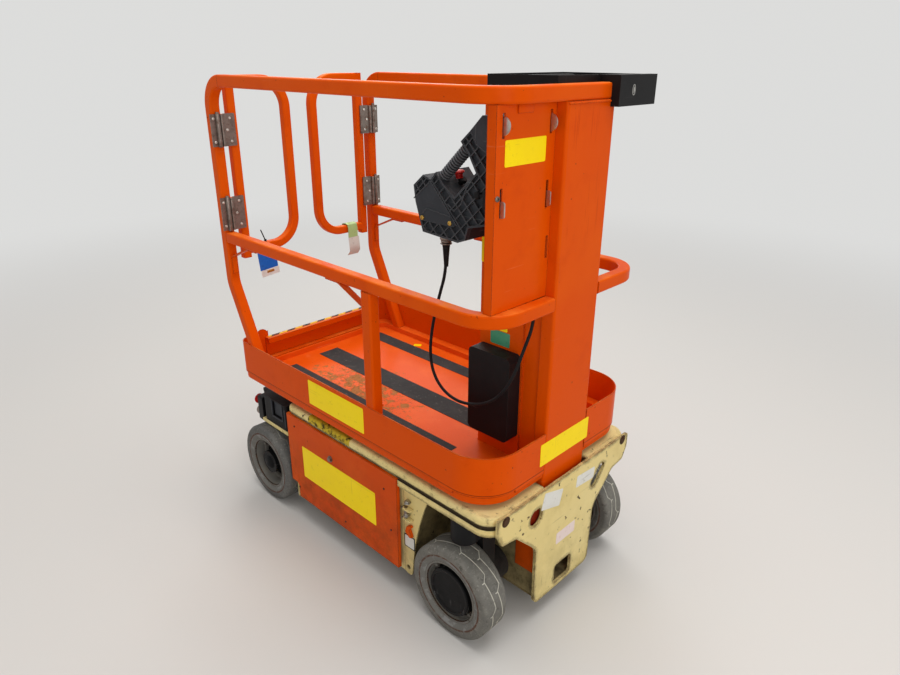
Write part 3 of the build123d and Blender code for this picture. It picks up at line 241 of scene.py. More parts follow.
paints = {  # each paint: the look it starts from and what differs
    "orangePaint": (orangeLook, {}),
    "creamPaint": (creamLook, {}),
    "blackPaint": (blackLook, {}),
    "platePaint": (creamLook, {**bigChips, "edge": 0.024, "chipFrom": 0.7, "chipScale": 26, "fleckScale": 44,
                               "fleckFrom": 0.655, "splash": 0.25}),
    # painted shade with dirt: dark bands along the cap's groove and its edge
    "capPaint": (creamLook, {**bigChips, "edge": 0.022, "chipFrom": 0.76, "chipScale": 24, "fleckScale": 50,
                             "fleckFrom": 0.66, "shadeBandTone": tone(48, 38, 28),
                             "shadeBands": [(0.4605, 0.4755, 0.26, 0.95), (0.4605, 0.4755, -0.7, 0.5),
                                       (0.4765, 0.4785, -0.7, 0.85)]}),
    # painted shade: the cream of the inner rails, beams, trays and wells made darker as if in shadow, with heavier
    # stains and dirt
    "shadedWellPaint": (creamLook, {"coat": tone(150, 134, 92), "faded": tone(166, 148, 104), "stained": tone(104, 90, 60),
                              "patch": 5, "stain": 0.9, "dirt": tone(60, 52, 40), "splash": 0.9, "splashHigh": 0.52,
                              "dusty": tone(150, 138, 112)}),
    # painted shade: a dark line on the deck's band just under the toe board's edge
    "shadeBandPaint": (orangeLook, {"shadeBandTone": tone(66, 26, 10), "shadeBands": [(0.5435, 0.5555, -0.8, 0.85)]}),
    # painted shade: a thin dark line in the toe board's groove near its lower edge
    "toePaint": (orangeLook, {"shadeBandTone": tone(84, 30, 8), "shadeBands": [(0.5515, 0.5552, -0.8, 0.8)], "chipFrom": 0.66,
                              "fleckFrom": 0.695}),
    "mastPaint": (orangeLook, {"streak": 0.75}),
    "doorPaint": (orangeLook, {"coat": tone(208, 74, 10), "faded": tone(216, 88, 24), "patch": 4, "stain": 0.6,
                               "splash": 0.5, "chipFrom": 0.74, "fleckFrom": 0.7}),
    "rimSteel": (creamLook, {"coat": tone(112, 110, 105), "faded": tone(126, 124, 118), "stained": tone(84, 82, 77),
                             "chipFrom": 0.6, "gloss": 0.05, "rough": 0.5}),
    "hubPaint": (blackLook, {"coat": tone(12, 12, 13), "faded": tone(16, 16, 17), "dirt": tone(30, 28, 26),
                             "splash": 0.05, "dust": 0.1, "dusty": tone(34, 33, 31), "scratchFrom": 0.62,
                             "scratch": 0.8, "scratched": tone(150, 148, 146), "rough": 0.4}),
    # painted shade: orange darkened to dark red, for the face behind the end plate's hole
    "shadedOrangePaint": (orangeLook, {"coat": tone(120, 30, 12), "faded": tone(136, 44, 20), "stained": tone(84, 24, 12)}),
}
paint = {name: paintedSteel(name, {**base, **changes}) for name, (base, changes) in paints.items()}


# The pan of the deck: orange, walked down to a scuffed patch near the gates
def deckPaint(name, look):
    mat, start, spot = newFinish(name)
    colour = start.flat(look["coat"]).over(spot.noise(5, 4, 0.6).between(0.4, 0.7) * 0.5, look["faded"])
    alongDeck = (spot.part("x") - look["wornAt"][0]) * look["wornSpread"][0]
    acrossDeck = (spot.part("y") - look["wornAt"][1]) * look["wornSpread"][1]
    tread = 1 - (alongDeck * alongDeck + acrossDeck * acrossDeck).between(0.02, 0.6)
    scuff = (spot.noise(15, 12, 0.74) + tread * 0.17).between(0.64, 0.68) * tread.between(0.02, 0.3)
    fine = (spot.noise(95, 8, 0.8) + tread * 0.09).between(0.62, 0.66)
    colour = colour.over(scuff * 0.75, look["scuffed"])
    colour = colour.over(fine * 0.7, look["grimy"])
    colour = colour.over(scratches(spot, 0.66) * 0.4, look["scratched"])
    rough = 0.34 + scuff * 0.25 + fine * 0.2
    height = spot.noise(300, 2, 0.5) * 0.15 - scuff * 0.4
    return shadeWith(mat, start, colour, rough, height, 0.0005, fixed=clearCoat(look["shine"], look["gloss"]))


deckFinish = deckPaint("deckPaint", {
    "coat": tone(226, 84, 12), "faded": tone(238, 108, 38), "scuffed": tone(140, 112, 62),
    "grimy": tone(112, 76, 44), "scratched": tone(240, 150, 96),
    "wornAt": (-0.17, -0.13), "wornSpread": (2.1, 3.6), "shine": 0.05, "gloss": 0.05})


# Solid grey tyre rubber: dusty and scuffed, with zigzag grooves full of pale dust and a rusty ring at the rim
def tyreRubber(name, look):
    mat, start, spot = newFinish(name)
    x = abs(spot.part("x")) - look["axleX"]
    z = spot.part("z") - look["axleZ"]
    reach, angle = (x * x + z * z).math("SQRT"), z.math("ARCTAN2", x)
    across = abs(spot.part("y")) - look["trackY"]
    colour = start.flat(look["coat"]).over(spot.noise(14, 5, 0.65).between(0.4, 0.7), look["dusty"])
    colour = colour.over(spot.noise(38, 6, 0.7, 0.4).between(0.55, 0.68) * 0.7, look["dark"])
    scuff = spot.noise(170, 4, 0.7).between(0.57, 0.66)
    colour = colour.over(scuff * 0.5, look["pale"])

    lines = None  # grooves: a long slant and a short jog back, with a stub at each corner
    for middleAt, phase in look["rows"]:
        turn = 1 - (angle * (look["cells"] / (2 * math.pi)) + phase).math("FRACT")
        drift = (turn * (1 / look["slant"])).least((1 - turn) * (1 / (1 - look["slant"]))) * look["jog"]
        line = 1 - abs(across - middleAt + drift).between(look["groove"] * 0.35, look["groove"])
        stub = (across - middleAt).between(-0.001, 0.0) * (1 - (across - middleAt).between(0.009, 0.011))
        line = line.most((1 - abs(turn - 0.012).between(0.012, 0.024)) * stub)
        lines = line if lines is None else lines.most(line)
    lines = lines * reach.between(look["treadFrom"], look["treadFrom"] + 0.003) * look["grooved"]
    colour = colour.over(lines * spot.noise(40, 4, 0.7).between(0.3, 0.44), look["chalk"])

    ring = look["ring"]  # inside it the side is the rim's painted steel
    face = (1 - reach.between(ring - 0.003, ring - 0.001)) * abs(facing(start, "y")).between(0.2, 0.5)
    mottle = spot.noise(30, 5, 0.7).between(0.5, 0.7) * 0.6
    colour = colour.over(face, start.node("RGB").over(mottle, look["rimDark"]).over(1 - mottle, look["rimPale"]))
    seam = reach.between(ring - 0.004, ring - 0.001) * (1 - reach.between(ring + 0.002, ring + 0.005))
    colour = colour.over(seam * spot.noise(50, 5, 0.7).between(0.3, 0.55) * 0.85, look["rust"])
    # painted shade: the tyre darker towards the floor it stands on
    colour = colour.over((1 - spot.part("z").between(0.0, 0.05)) * 0.4, look["dark"])
    height = spot.noise(260, 4, 0.6) * 0.3 + spot.noise(30, 4, 0.6) * 0.5 - lines * 1.4
    return shadeWith(mat, start, colour, 0.75 + scuff * 0.12, height, 0.0014)


tyreLook = {
    "coat": tone(104, 102, 96), "dusty": tone(122, 119, 111), "dark": tone(74, 71, 66), "pale": tone(160, 156, 145),
    "chalk": tone(196, 192, 178), "rust": tone(84, 48, 34),
    "rimDark": tone(74, 72, 67), "rimPale": tone(110, 108, 102),
    "axleX": 0.52, "axleZ": 0.1615, "trackY": 0.33, "treadFrom": 0.152, "ring": 0.1275,
    "cells": 9, "jog": 0.015, "slant": 0.84, "rows": [(0.021, 0.0), (-0.013, 0.42)],
    "groove": 0.0027, "grooved": 1.0,
}
tyreFinish = tyreRubber("tyreRubber", tyreLook)
rearTyreFinish = tyreRubber("rearTyreRubber", {**tyreLook, "coat": tone(96, 95, 92), "dusty": tone(112, 111, 106),
                                               "grooved": 0.25})


# Moulded plastic, scuffed pale on its edges, with a fine spark-eroded grain
def mouldedPlastic(name, look):
    mat, start, spot = newFinish(name)
    worn = (edgeWear(start, 0.003) + (spot.noise(70, 5, 0.7) - 0.5) * 1.3).between(0.5, 0.8)
    colour = start.flat(look["coat"]).over(spot.noise(9, 5, 0.65).between(0.42, 0.72) * 0.6, look["faded"])
    colour = colour.over(worn * look["wear"], look["worn"])
    scratch = scratches(spot, 0.67)
    colour = colour.over(scratch * 0.6, look["worn"])
    dust = facing(start, "z").between(0.3, 0.95) * spot.noise(26, 5, 0.7).between(0.35, 0.7) * 0.4
    colour = colour.over(dust, look["dusty"])
    rough = look["rough"] + worn * 0.15 + dust * 0.2
    return shadeWith(mat, start, colour, rough, spot.noise(650, 2, 0.5) * 0.5 - scratch * 0.3, 0.0004)


controllerPlastic = mouldedPlastic("controllerPlastic", {
    "coat": tone(52, 54, 58), "faded": tone(70, 72, 76), "worn": tone(112, 112, 112), "dusty": tone(110, 106, 100),
    "wear": 0.6, "rough": 0.5})
boxPlastic = mouldedPlastic("boxPlastic", {
    "coat": tone(20, 19, 20), "faded": tone(30, 28, 28), "worn": tone(72, 70, 66), "dusty": tone(70, 66, 62),
    "wear": 0.4, "rough": 0.46})
redPlastic = mouldedPlastic("redPlastic", {
    "coat": tone(176, 20, 18), "faded": tone(190, 40, 32), "worn": tone(216, 110, 96), "dusty": tone(150, 80, 70),
    "wear": 0.4, "rough": 0.34})
# painted highlight: a paler copy of the grip's grey, for light on the bellows rings' crests
bellowsHighlight = mouldedPlastic("bellowsHighlight", {
    "coat": tone(88, 89, 92), "faded": tone(104, 106, 108), "worn": tone(160, 160, 157),
    "dusty": tone(120, 118, 112), "wear": 0.5, "rough": 0.4})


# Plated steel and brass, gone dull and brown in patches
def platedSteel(name, look):
    mat, start, spot = newFinish(name)
    patch = spot.noise(30, 5, 0.65).between(0.4, 0.68)
    tarnish = spot.noise(75, 6, 0.7).between(0.5, 0.7) * look["tarnish"]
    colour = start.flat(look["coat"]).over(patch * 0.7, look["dull"]).over(tarnish, look["brown"])
    rough = look["rough"] + patch * 0.12 + tarnish * 0.25
    return shadeWith(mat, start, colour, rough, spot.noise(200, 4, 0.6) * 0.4, 0.0004, 1 - tarnish * 0.7)


hingeSteel = platedSteel("hingeSteel", {
    "coat": tone(140, 128, 120), "dull": tone(108, 96, 88), "brown": tone(98, 66, 44), "tarnish": 0.8, "rough": 0.4})
boltZinc = platedSteel("boltZinc", {
    "coat": tone(196, 194, 188), "dull": tone(160, 156, 148), "brown": tone(122, 92, 64),
    "tarnish": 0.5, "rough": 0.28})
brightZinc = platedSteel("brightZinc", {
    "coat": tone(226, 222, 214), "dull": tone(190, 184, 174), "brown": tone(140, 112, 84),
    "tarnish": 0.3, "rough": 0.35})
brass = platedSteel("brass", {
    "coat": tone(206, 168, 86), "dull": tone(170, 134, 70), "brown": tone(96, 70, 40), "tarnish": 0.4, "rough": 0.3})
rustySteel = platedSteel("rustySteel", {
    "coat": tone(92, 66, 48), "dull": tone(74, 52, 38), "brown": tone(66, 38, 24), "tarnish": 1.0, "rough": 0.6})


# Vinyl, tape, rubber and ribbon: one colour, fine scratches and grime
def vinyl(name, look):
    mat, start, spot = newFinish(name)
    colour = start.flat(look["coat"]).over(spot.noise(12, 4, 0.6).between(0.4, 0.75) * 0.35, look["faded"])
    grimeFrom = look.get("grimeFrom", 0.56)
    grime = spot.noise(55, 6, 0.72).between(grimeFrom, grimeFrom + 0.14) * look["grime"]
    scratch = scratches(spot, 0.655)
    colour = colour.over(grime, look["dirt"]).over(scratch * look["scratch"], look["dirt"])
    height = spot.noise(90, 3, 0.5) * 0.3 - scratch * 0.3
    return shadeWith(mat, start, colour, look["rough"] + grime * 0.3, height, 0.0003)


yellowVinyl = vinyl("yellowVinyl", {
    "coat": tone(255, 222, 2), "faded": tone(250, 210, 14), "dirt": tone(140, 110, 40), "grime": 0.2,
    "scratch": 0.25, "rough": 0.36})
dirtyYellow = vinyl("dirtyYellow", {
    "coat": tone(196, 168, 40), "faded": tone(160, 134, 50), "dirt": tone(50, 40, 24), "grime": 1.0,
    "grimeFrom": 0.47, "scratch": 0.7, "rough": 0.5})
whiteVinyl = vinyl("whiteVinyl", {
    "coat": tone(222, 220, 212), "faded": tone(206, 202, 190), "dirt": tone(128, 118, 100), "grime": 0.5,
    "scratch": 0.5, "rough": 0.42})
pinkVinyl = vinyl("pinkVinyl", {
    "coat": tone(232, 214, 206), "faded": tone(224, 196, 190), "dirt": tone(176, 110, 106), "grime": 0.5,
    "scratch": 0.4, "rough": 0.42})
greenVinyl = vinyl("greenVinyl", {
    "coat": tone(70, 150, 112), "faded": tone(110, 170, 140), "dirt": tone(70, 84, 70), "grime": 0.4, "scratch": 0.4,
    "rough": 0.42})
blueVinyl = vinyl("blueVinyl", {
    "coat": tone(30, 98, 190), "faded": tone(64, 124, 200), "dirt": tone(40, 56, 84), "grime": 0.35, "scratch": 0.3,
    "rough": 0.4})
paleCloth = vinyl("paleCloth", {
    "coat": tone(214, 210, 200), "faded": tone(198, 192, 182), "dirt": tone(150, 138, 124), "grime": 0.4,
    "scratch": 0.2, "rough": 0.6})
paleGreen = vinyl("paleGreen", {
    "coat": tone(170, 196, 128), "faded": tone(190, 210, 150), "dirt": tone(120, 120, 92), "grime": 0.35,
    "scratch": 0.2, "rough": 0.55})
gripTape = vinyl("gripTape", {
    "coat": tone(58, 57, 56), "faded": tone(82, 80, 77), "dirt": tone(112, 106, 98), "grime": 0.55, "scratch": 0.3,
    "rough": 0.85})
blackRubber = vinyl("blackRubber", {
    "coat": tone(22, 22, 23), "faded": tone(36, 35, 35), "dirt": tone(74, 70, 64), "grime": 0.35, "scratch": 0.15,
    "rough": 0.5})


def stripes(name, look):  # black and yellow hazard stripes at 45 degrees, worn
    mat, start, spot = newFinish(name)
    band = ((spot.part("x") + spot.part("y")) * (1 / look["pitch"])).math("FRACT")
    wear = spot.noise(70, 6, 0.75).between(0.5, 0.62)
    colour = start.flat(look["yellow"]).over(band.between(0.48, 0.52), look["black"]).over(wear * 0.8, look["worn"])
    return shadeWith(mat, start, colour, 0.5 + wear * 0.2, (1 - wear) * 0.5, 0.0004)


hazardTape = stripes("hazardTape", {
    "pitch": 0.075, "yellow": tone(232, 180, 20), "black": tone(40, 38, 36), "worn": tone(196, 92, 40)})
print("finishes made")

# What each CAD node is finished in
nodeFinish = {
    paint["orangePaint"]: ["top_rail", "mid_rail_left", "mid_rail_right", "entry_post_left", "entry_post_right",
                           "mid_posts", "rail_braces", "gate_left", "gate_right", "end_panel", "kick_plate",
                           "mast_upper", "mast_lower", "release_lever"],
    paint["mastPaint"]: ["mast_cover"],
    paint["shadeBandPaint"]: ["deck_frame"],
    paint["toePaint"]: ["toe_board"],
    paint["doorPaint"]: ["door_left", "door_right"],
    paint["capPaint"]: ["chassis_top"],
    paint["platePaint"]: ["end_plate", "rear_plate"],
    paint["shadedWellPaint"]: ["chassis_rails", "battery_trays", "mast_well", "kingpin_beams", "mast_base"],
    paint["creamPaint"]: ["arch_panels", "control_shelf", "door_brackets"],
    paint["blackPaint"]: ["rear_axle", "knuckle_left", "knuckle_right", "hub_front_left", "hub_front_right",
                          "hub_rear_left", "hub_rear_right"],
    paint["rimSteel"]: ["rim_front_left", "rim_front_right", "rim_rear_left", "rim_rear_right"],
    deckFinish: ["deck_floor"],
    boxPlastic: ["battery_pack", "power_unit", "ground_control_box", "manual_box", "tool_tray", "cord_gland",
                 "controller_stop"],
    controllerPlastic: ["controller", "controller_shell"],
    redPlastic: ["ground_controls"],
    tyreFinish: ["tyre_front_left", "tyre_front_right"],
    rearTyreFinish: ["tyre_rear_left", "tyre_rear_right"],
    hingeSteel: ["post_hinges", "door_latches"],
    blackRubber: ["cord_plug"],
}
for finish, names in nodeFinish.items():
    for name in names:
        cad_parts[name].data.materials.clear()
        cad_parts[name].data.materials.append(finish)
print("CAD nodes finished")


def onlyActive(obj):
    bpy.ops.object.select_all(action="DESELECT")
    obj.select_set(True)
    bpy.context.view_layer.objects.active = obj


def opened(obj):  # edit mode on this piece alone
    onlyActive(obj)
    bpy.ops.object.mode_set(mode="EDIT")


def closed(smoothBelow=35):  # back to object mode, smooth over edges flatter than this angle
    bpy.ops.object.mode_set(mode="OBJECT")
    bpy.ops.object.shade_smooth_by_angle(angle=math.radians(smoothBelow))
    return bpy.context.object


def pick(kind, test):  # selects the faces, edges or vertices that pass the test, in edit mode
    mesh = bmesh.from_edit_mesh(bpy.context.object.data)
    bpy.ops.mesh.select_all(action="DESELECT")
    bpy.ops.mesh.select_mode(type=kind)
    for item in {"FACE": mesh.faces, "EDGE": mesh.edges, "VERT": mesh.verts}[kind]:
        item.select = bool(test(item))
    mesh.select_flush_mode()
    bmesh.update_edit_mesh(bpy.context.object.data)


def middle(item):
    return sum((v.co for v in item.verts), Vector()) / len(item.verts)


def along(edge, axis):  # whether an edge runs along an axis
    step = (edge.verts[1].co - edge.verts[0].co).normalized()
    return abs(step["xyz".index(axis)]) > 0.99


def rims(edge):  # the edges round both ends of an upright rod
    return not along(edge, "z")


def onTop(face):
    return face.normal.z > 0.9


def applied():
    bpy.ops.object.transform_apply(location=True, rotation=True, scale=True)
    return bpy.context.object


def spanBox(name, low, high):  # a block between two corners
    bpy.ops.object.select_all(action="DESELECT")
    bpy.ops.mesh.primitive_cube_add(size=1, location=[(a + b) / 2 for a, b in zip(low, high)],
                                    scale=[b - a for a, b in zip(low, high)])
    bpy.context.object.name = name
    return applied()


def rod(radius, length, place, sides=28, turn=(0, 0, 0)):  # an upright cylinder, or one turned about its middle
    bpy.ops.object.select_all(action="DESELECT")
    bpy.ops.mesh.primitive_cylinder_add(vertices=sides, radius=radius, depth=length, location=place, rotation=turn)
    return applied()


def rounded(obj, width, steps=2, test=None):  # rounds the edges that pass the test, or all
    opened(obj)
    pick("EDGE", test or (lambda edge: True))
    bpy.ops.mesh.bevel(offset=width, segments=steps, affect="EDGES", clamp_overlap=True)
    return closed()


def stepped(inset, step):  # insets the picked faces and pushes them up or down
    bpy.ops.mesh.inset(thickness=inset)
    bpy.ops.mesh.extrude_region_move(TRANSFORM_OT_translate={"value": (0, 0, step)})


def placed(obj, matrix):  # puts the place into the mesh
    obj.data.transform(matrix)
    obj.data.update()
    return obj


def shifted(x, y, z):
    return Matrix.Translation((x, y, z))


def pointing(run):  # turns z to a direction
    return run.to_track_quat("Z", "Y").to_matrix().to_4x4()


def axes(point, right, up):  # a frame whose x is right, y is up and z comes out of the face
    right, up = Vector(right).normalized(), Vector(up).normalized()
    return Matrix.Translation(point) @ Matrix((right, up, right.cross(up).normalized())).transposed().to_4x4()


def finished(obj, body, finish):
    obj.data.materials.clear()
    obj.data.materials.append(finish)
    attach(obj, body)


def joined(name, parts):
    bpy.ops.object.select_all(action="DESELECT")
    for part in parts:
        part.select_set(True)
    bpy.context.view_layer.objects.active = parts[0]
    bpy.ops.object.join()
    parts[0].name = name
    return parts[0]


def copied(obj, matrix):
    twin = obj.copy()
    twin.data = obj.data.copy()
    bpy.context.scene.collection.objects.link(twin)
    twin.data.transform(matrix)
    return twin


def scattered(master, name, places, body, finish):  # copies of one piece joined as one set
    finished(joined(name, [copied(master, axes(*place)) for place in places]), body, finish)


def plate(name, at, right, up, size, thick=0.0006, corner=0.004, lift=0.0002):  # a label or plate lying on a face
    opened(spanBox(name, (-size[0] / 2, -size[1] / 2, 0), (size[0] / 2, size[1] / 2, thick)))
    pick("EDGE", lambda edge: along(edge, "z"))
    bpy.ops.mesh.bevel(offset=corner, segments=3, affect="EDGES")
    pick("EDGE", lambda edge: all(v.co.z > thick * 0.9 for v in edge.verts)
         and len({onTop(face) for face in edge.link_faces}) == 2)
    bpy.ops.mesh.bevel(offset=thick * 0.4, segments=1, affect="EDGES")
    bpy.ops.object.mode_set(mode="OBJECT")
    out = Vector(right).cross(Vector(up)).normalized()
    return placed(bpy.context.object, axes(Vector(at) + out * lift, right, up))


def hexScrew(name, size):  # a hexagon screw with its washer, standing on z = 0
    washer = rod(size * 0.78, size * 0.16, (0, 0, size * 0.08), 24)
    bpy.ops.object.shade_smooth_by_angle(angle=math.radians(35))
    head = rod(size * 0.58, size * 0.4, (0, 0, size * 0.36), 6)
    opened(head)
    pick("FACE", onTop)
    bpy.ops.mesh.inset(thickness=size * 0.09)
    bpy.ops.transform.translate(value=(0, 0, size * 0.04))
    bpy.ops.object.mode_set(mode="OBJECT")
    return joined(name, [head, washer])


def capScrew(name, size):  # a round head with a socket in it
    opened(rod(size / 2, size * 0.3, (0, 0, size * 0.15), 24))
    pick("EDGE", lambda edge: rims(edge) and middle(edge).z > size * 0.2)
    bpy.ops.mesh.bevel(offset=size * 0.12, segments=3, affect="EDGES")
    pick("FACE", lambda face: face.normal.z > 0.99)
    stepped(size * 0.12, -size * 0.14)
    head = closed()
    head.name = name
    return head


def weldBead(name, path, size):  # overlapping ripples from point to point
    bpy.ops.object.select_all(action="DESELECT")
    bpy.ops.mesh.primitive_uv_sphere_add(segments=8, ring_count=5, radius=1, location=(0, 0, 0))
    ripple = bpy.context.object
    lumps = []
    for start, end in zip(path, path[1:]):
        start, run = Vector(start), Vector(end) - Vector(start)
        count = max(2, int(run.length / (size * 0.62)))
        for i in range(count):
            at = start + run * ((i + 0.5) / count)
            wobble = size * 0.5 * (1 + dice.uniform(-0.12, 0.12))
            shape = Matrix.Diagonal((wobble, wobble, size * 0.55, 1))
            lumps.append(copied(ripple, Matrix.Translation(at) @ pointing(run) @ shape))
    bpy.data.objects.remove(ripple)
    bead = joined(name, lumps)
    onlyActive(bead)
    bpy.ops.object.shade_smooth()
    return bead


def seed(gone):  # what is left of a small plane when the corners that pass the test are gone
    bpy.ops.object.select_all(action="DESELECT")
    bpy.ops.mesh.primitive_plane_add(size=1, location=(0, 0, 0))
    bpy.ops.object.mode_set(mode="EDIT")
    pick("VERT", gone)
    bpy.ops.mesh.delete(type="VERT")
    bpy.ops.object.mode_set(mode="OBJECT")
    return bpy.context.object


def drawnOut(kind, spots):  # extrudes all of the open piece from spot to spot
    bpy.ops.object.mode_set(mode="EDIT")
    bpy.ops.mesh.select_mode(type=kind)
    bpy.ops.mesh.select_all(action="SELECT")
    for one, two in zip(spots, spots[1:]):
        bpy.ops.mesh.extrude_region_move(TRANSFORM_OT_translate={"value": [b - a for a, b in zip(one, two)]})
    bpy.ops.mesh.select_all(action="SELECT")


def lathe(name, profile, axis="y"):  # a profile of (radius, reach) spun round an axis
    points = profile if profile[0][0] == 0 and profile[-1][0] == 0 else profile + [profile[0]]  # else a ring
    spots = [(radius, reach, 0) if axis == "y" else (radius, 0, reach) for radius, reach in points]
    obj = seed(lambda vert: vert.co.x < 0 or vert.co.y < 0)
    obj.name = name
    obj.data.vertices[0].co = spots[0]
    drawnOut("VERT", spots)
    bpy.ops.mesh.spin(steps=56, angle=2 * math.pi, center=(0, 0, 0), axis=(0, 1, 0) if axis == "y" else (0, 0, 1))
    bpy.ops.mesh.select_all(action="SELECT")
    bpy.ops.mesh.remove_doubles(threshold=0.00001)
    bpy.ops.mesh.normals_make_consistent(inside=False)
    return closed(32)


def bentStrip(name, points, wide, axis, thick, side, smoothBelow):  # a strip bent along points, its width on x or y
    def spot(width, point):
        return (width, *point) if axis == "x" else (point[0], width, point[1])
    across = "yx"["xy".index(axis)]
    strip = seed(lambda vert: getattr(vert.co, across) < 0)
    for vert, width in zip(strip.data.vertices, wide):
        vert.co = spot(width, points[0])
    drawnOut("EDGE", [spot(0, point) for point in points])
    bpy.ops.mesh.normals_make_consistent(inside=False)
    bpy.ops.object.mode_set(mode="OBJECT")
    wall = strip.modifiers.new("wall", "SOLIDIFY")
    wall.thickness = thick
    wall.offset = side
    bpy.ops.object.modifier_apply(modifier="wall")
    bpy.ops.object.shade_smooth_by_angle(angle=math.radians(smoothBelow))
    strip.name = name
    return strip


# The controller's cord: one bight from the plug to the gland on the mast
cordFacts = {
    "diameter": 0.0095,
    "length": 1.0212,
    "route": [
        (0.334, -0.200, 1.1877), (0.334, -0.200, 1.130), (0.306, -0.203, 1.042), (0.281, -0.205, 0.950),
        (0.268, -0.205, 0.862), (0.278, -0.204, 0.790), (0.316, -0.203, 0.742), (0.372, -0.202, 0.722),
        (0.434, -0.202, 0.728), (0.500, -0.201, 0.754), (0.556, -0.198, 0.802), (0.590, -0.184, 0.872),
        (0.603, -0.162, 0.950), (0.604, -0.124, 1.016), (0.604, -0.124, 1.0737),
    ],
}


def makeCord():
    curve = bpy.data.curves.new("controllerCable", "CURVE")
    curve.dimensions = "3D"
    line = curve.splines.new("NURBS")
    line.points.add(len(cordFacts["route"]) - 1)
    for point, at in zip(line.points, cordFacts["route"]):
        point.co = (*at, 1)
    line.order_u = 3
    line.use_endpoint_u = True
    line.resolution_u = 16
    curve.bevel_depth = cordFacts["diameter"] / 2
    curve.bevel_resolution = 6
    curve.use_fill_caps = True
    curve.materials.append(blackRubber)
    obj = bpy.data.objects.new("controllerCable", curve)
    bpy.context.scene.collection.objects.link(obj)
    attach(obj, "platform")
    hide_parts("controller_cord")


makeCord()
print("cord laid")

# The ways a face looks, as its right and its up
near, far, front = ((1, 0, 0), (0, 0, 1)), ((-1, 0, 0), (0, 0, 1)), ((0, 1, 0), (0, 0, 1))
skin = 0.0006  # how far a thin piece stands off the one under it

# Black grip strips on the deck, as x from, x to, y from and y to
stripFacts = {"pan": 0.545, "thick": 0.0012, "corner": 0.003,
              "rows": [(-0.531, 0.376, -0.231, -0.191), (-0.548, 0.372, -0.066, 0.028),
                       (-0.548, 0.372, 0.208, 0.272)]}
strips = [plate("gripStrip", ((x0 + x1) / 2, (y0 + y1) / 2, stripFacts["pan"]), (1, 0, 0), (0, 1, 0),
                (x1 - x0, y1 - y0), stripFacts["thick"], stripFacts["corner"])
          for x0, x1, y0, y1 in stripFacts["rows"]]
finished(joined("deckGripStrips", strips), "platform", gripTape)

# Where the faces that carry plates and screws lie
faces = {"toe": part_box("toe_board")[0].y, "toeEnd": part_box("toe_board")[1].x, "door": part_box("door_right")[0].y,
         "farDoor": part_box("door_left")[1].y, "endPlate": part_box("end_plate")[1].x, "endPanel": 0.626,
         "mast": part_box("mast_cover")[0].y, "kick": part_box("kick_plate")[1].z,
         "kickIn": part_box("kick_plate")[0].x + 0.008}
tiltedNear, tiltedFar = ((0, 0.958, -0.287), (0, 0.287, 0.958)), ((0, 0.996, -0.087), (0, 0.087, 0.996))
hanging = ((0, 0.996, 0.087), (0, -0.087, 0.996))

# Blank plates, labels and signs: what each rides on, its finish, middle, turn and size, and at times its
# thickness and corner
plateFacts = {
    "toeNamePlate": ("platform", yellowVinyl, (-0.0225, faces["toe"], 0.615), near, (0.305, 0.094)),
    "doorNamePlate": ("door_right", yellowVinyl, (-0.0455, faces["door"], 0.286), near, (0.425, 0.134)),
    "mastNamePlate": ("platform", yellowVinyl, (faces["toeEnd"], -0.005, 0.610), front, (0.25, 0.076)),
    "whiteLabelNear": ("chassis", whiteVinyl, (faces["endPlate"], -0.0885, 0.4485), tiltedNear, (0.1, 0.058)),
    "whiteLabelFar": ("chassis", whiteVinyl, (faces["endPlate"], 0.093, 0.443), tiltedFar, (0.102, 0.042)),
    "pinkLabel": ("chassis", pinkVinyl, (faces["endPlate"], 0.001, 0.274), front, (0.102, 0.0435)),
    "panelNumberPlate": ("platform", yellowVinyl, (faces["endPanel"], -0.224, 1.4995), front, (0.158, 0.062)),
    "mastSideLabel": ("platform", yellowVinyl, (0.452, faces["mast"], 1.02), near, (0.09, 0.13)),
    "mastSideLabelLow": ("platform", greenVinyl, (0.470, faces["mast"], 0.93), near, (0.075, 0.045)),
    "mastSideSign": ("platform", yellowVinyl, (0.414, faces["mast"], 1.190), near, (0.050, 0.075)),
    "kickPlateTape": ("platform", hazardTape, (faces["kickIn"], 0, faces["kick"]), ((0, 1, 0), (-1, 0, 0)),
                      (0.50, 0.014), 0.0005, 0.001),
    "blueTag": ("gate_right", blueVinyl, (-0.6425, -0.208, 0.967), hanging, (0.080, 0.074), 0.0008, 0.002),
    "blueTagLow": ("gate_right", whiteVinyl, (-0.6425, -0.2005, 0.917), hanging, (0.080, 0.028), 0.0008, 0.002),
    "blueTagPlate": ("gate_right", brass, (-0.6416, -0.2005, 0.920), hanging, (0.032, 0.010), 0.0005, 0.001),
    "deckScrap": ("platform", yellowVinyl, (-0.321, 0.290, 0.545), ((0.8, 0.6, 0), (-0.6, 0.8, 0)), (0.034, 0.022),
                  0.0005, 0.006),
}
for name, (body, finish, at, (right, up), size, *more) in plateFacts.items():
    finished(plate(name, at, right, up, size, *more), body, finish)
print("plates on")

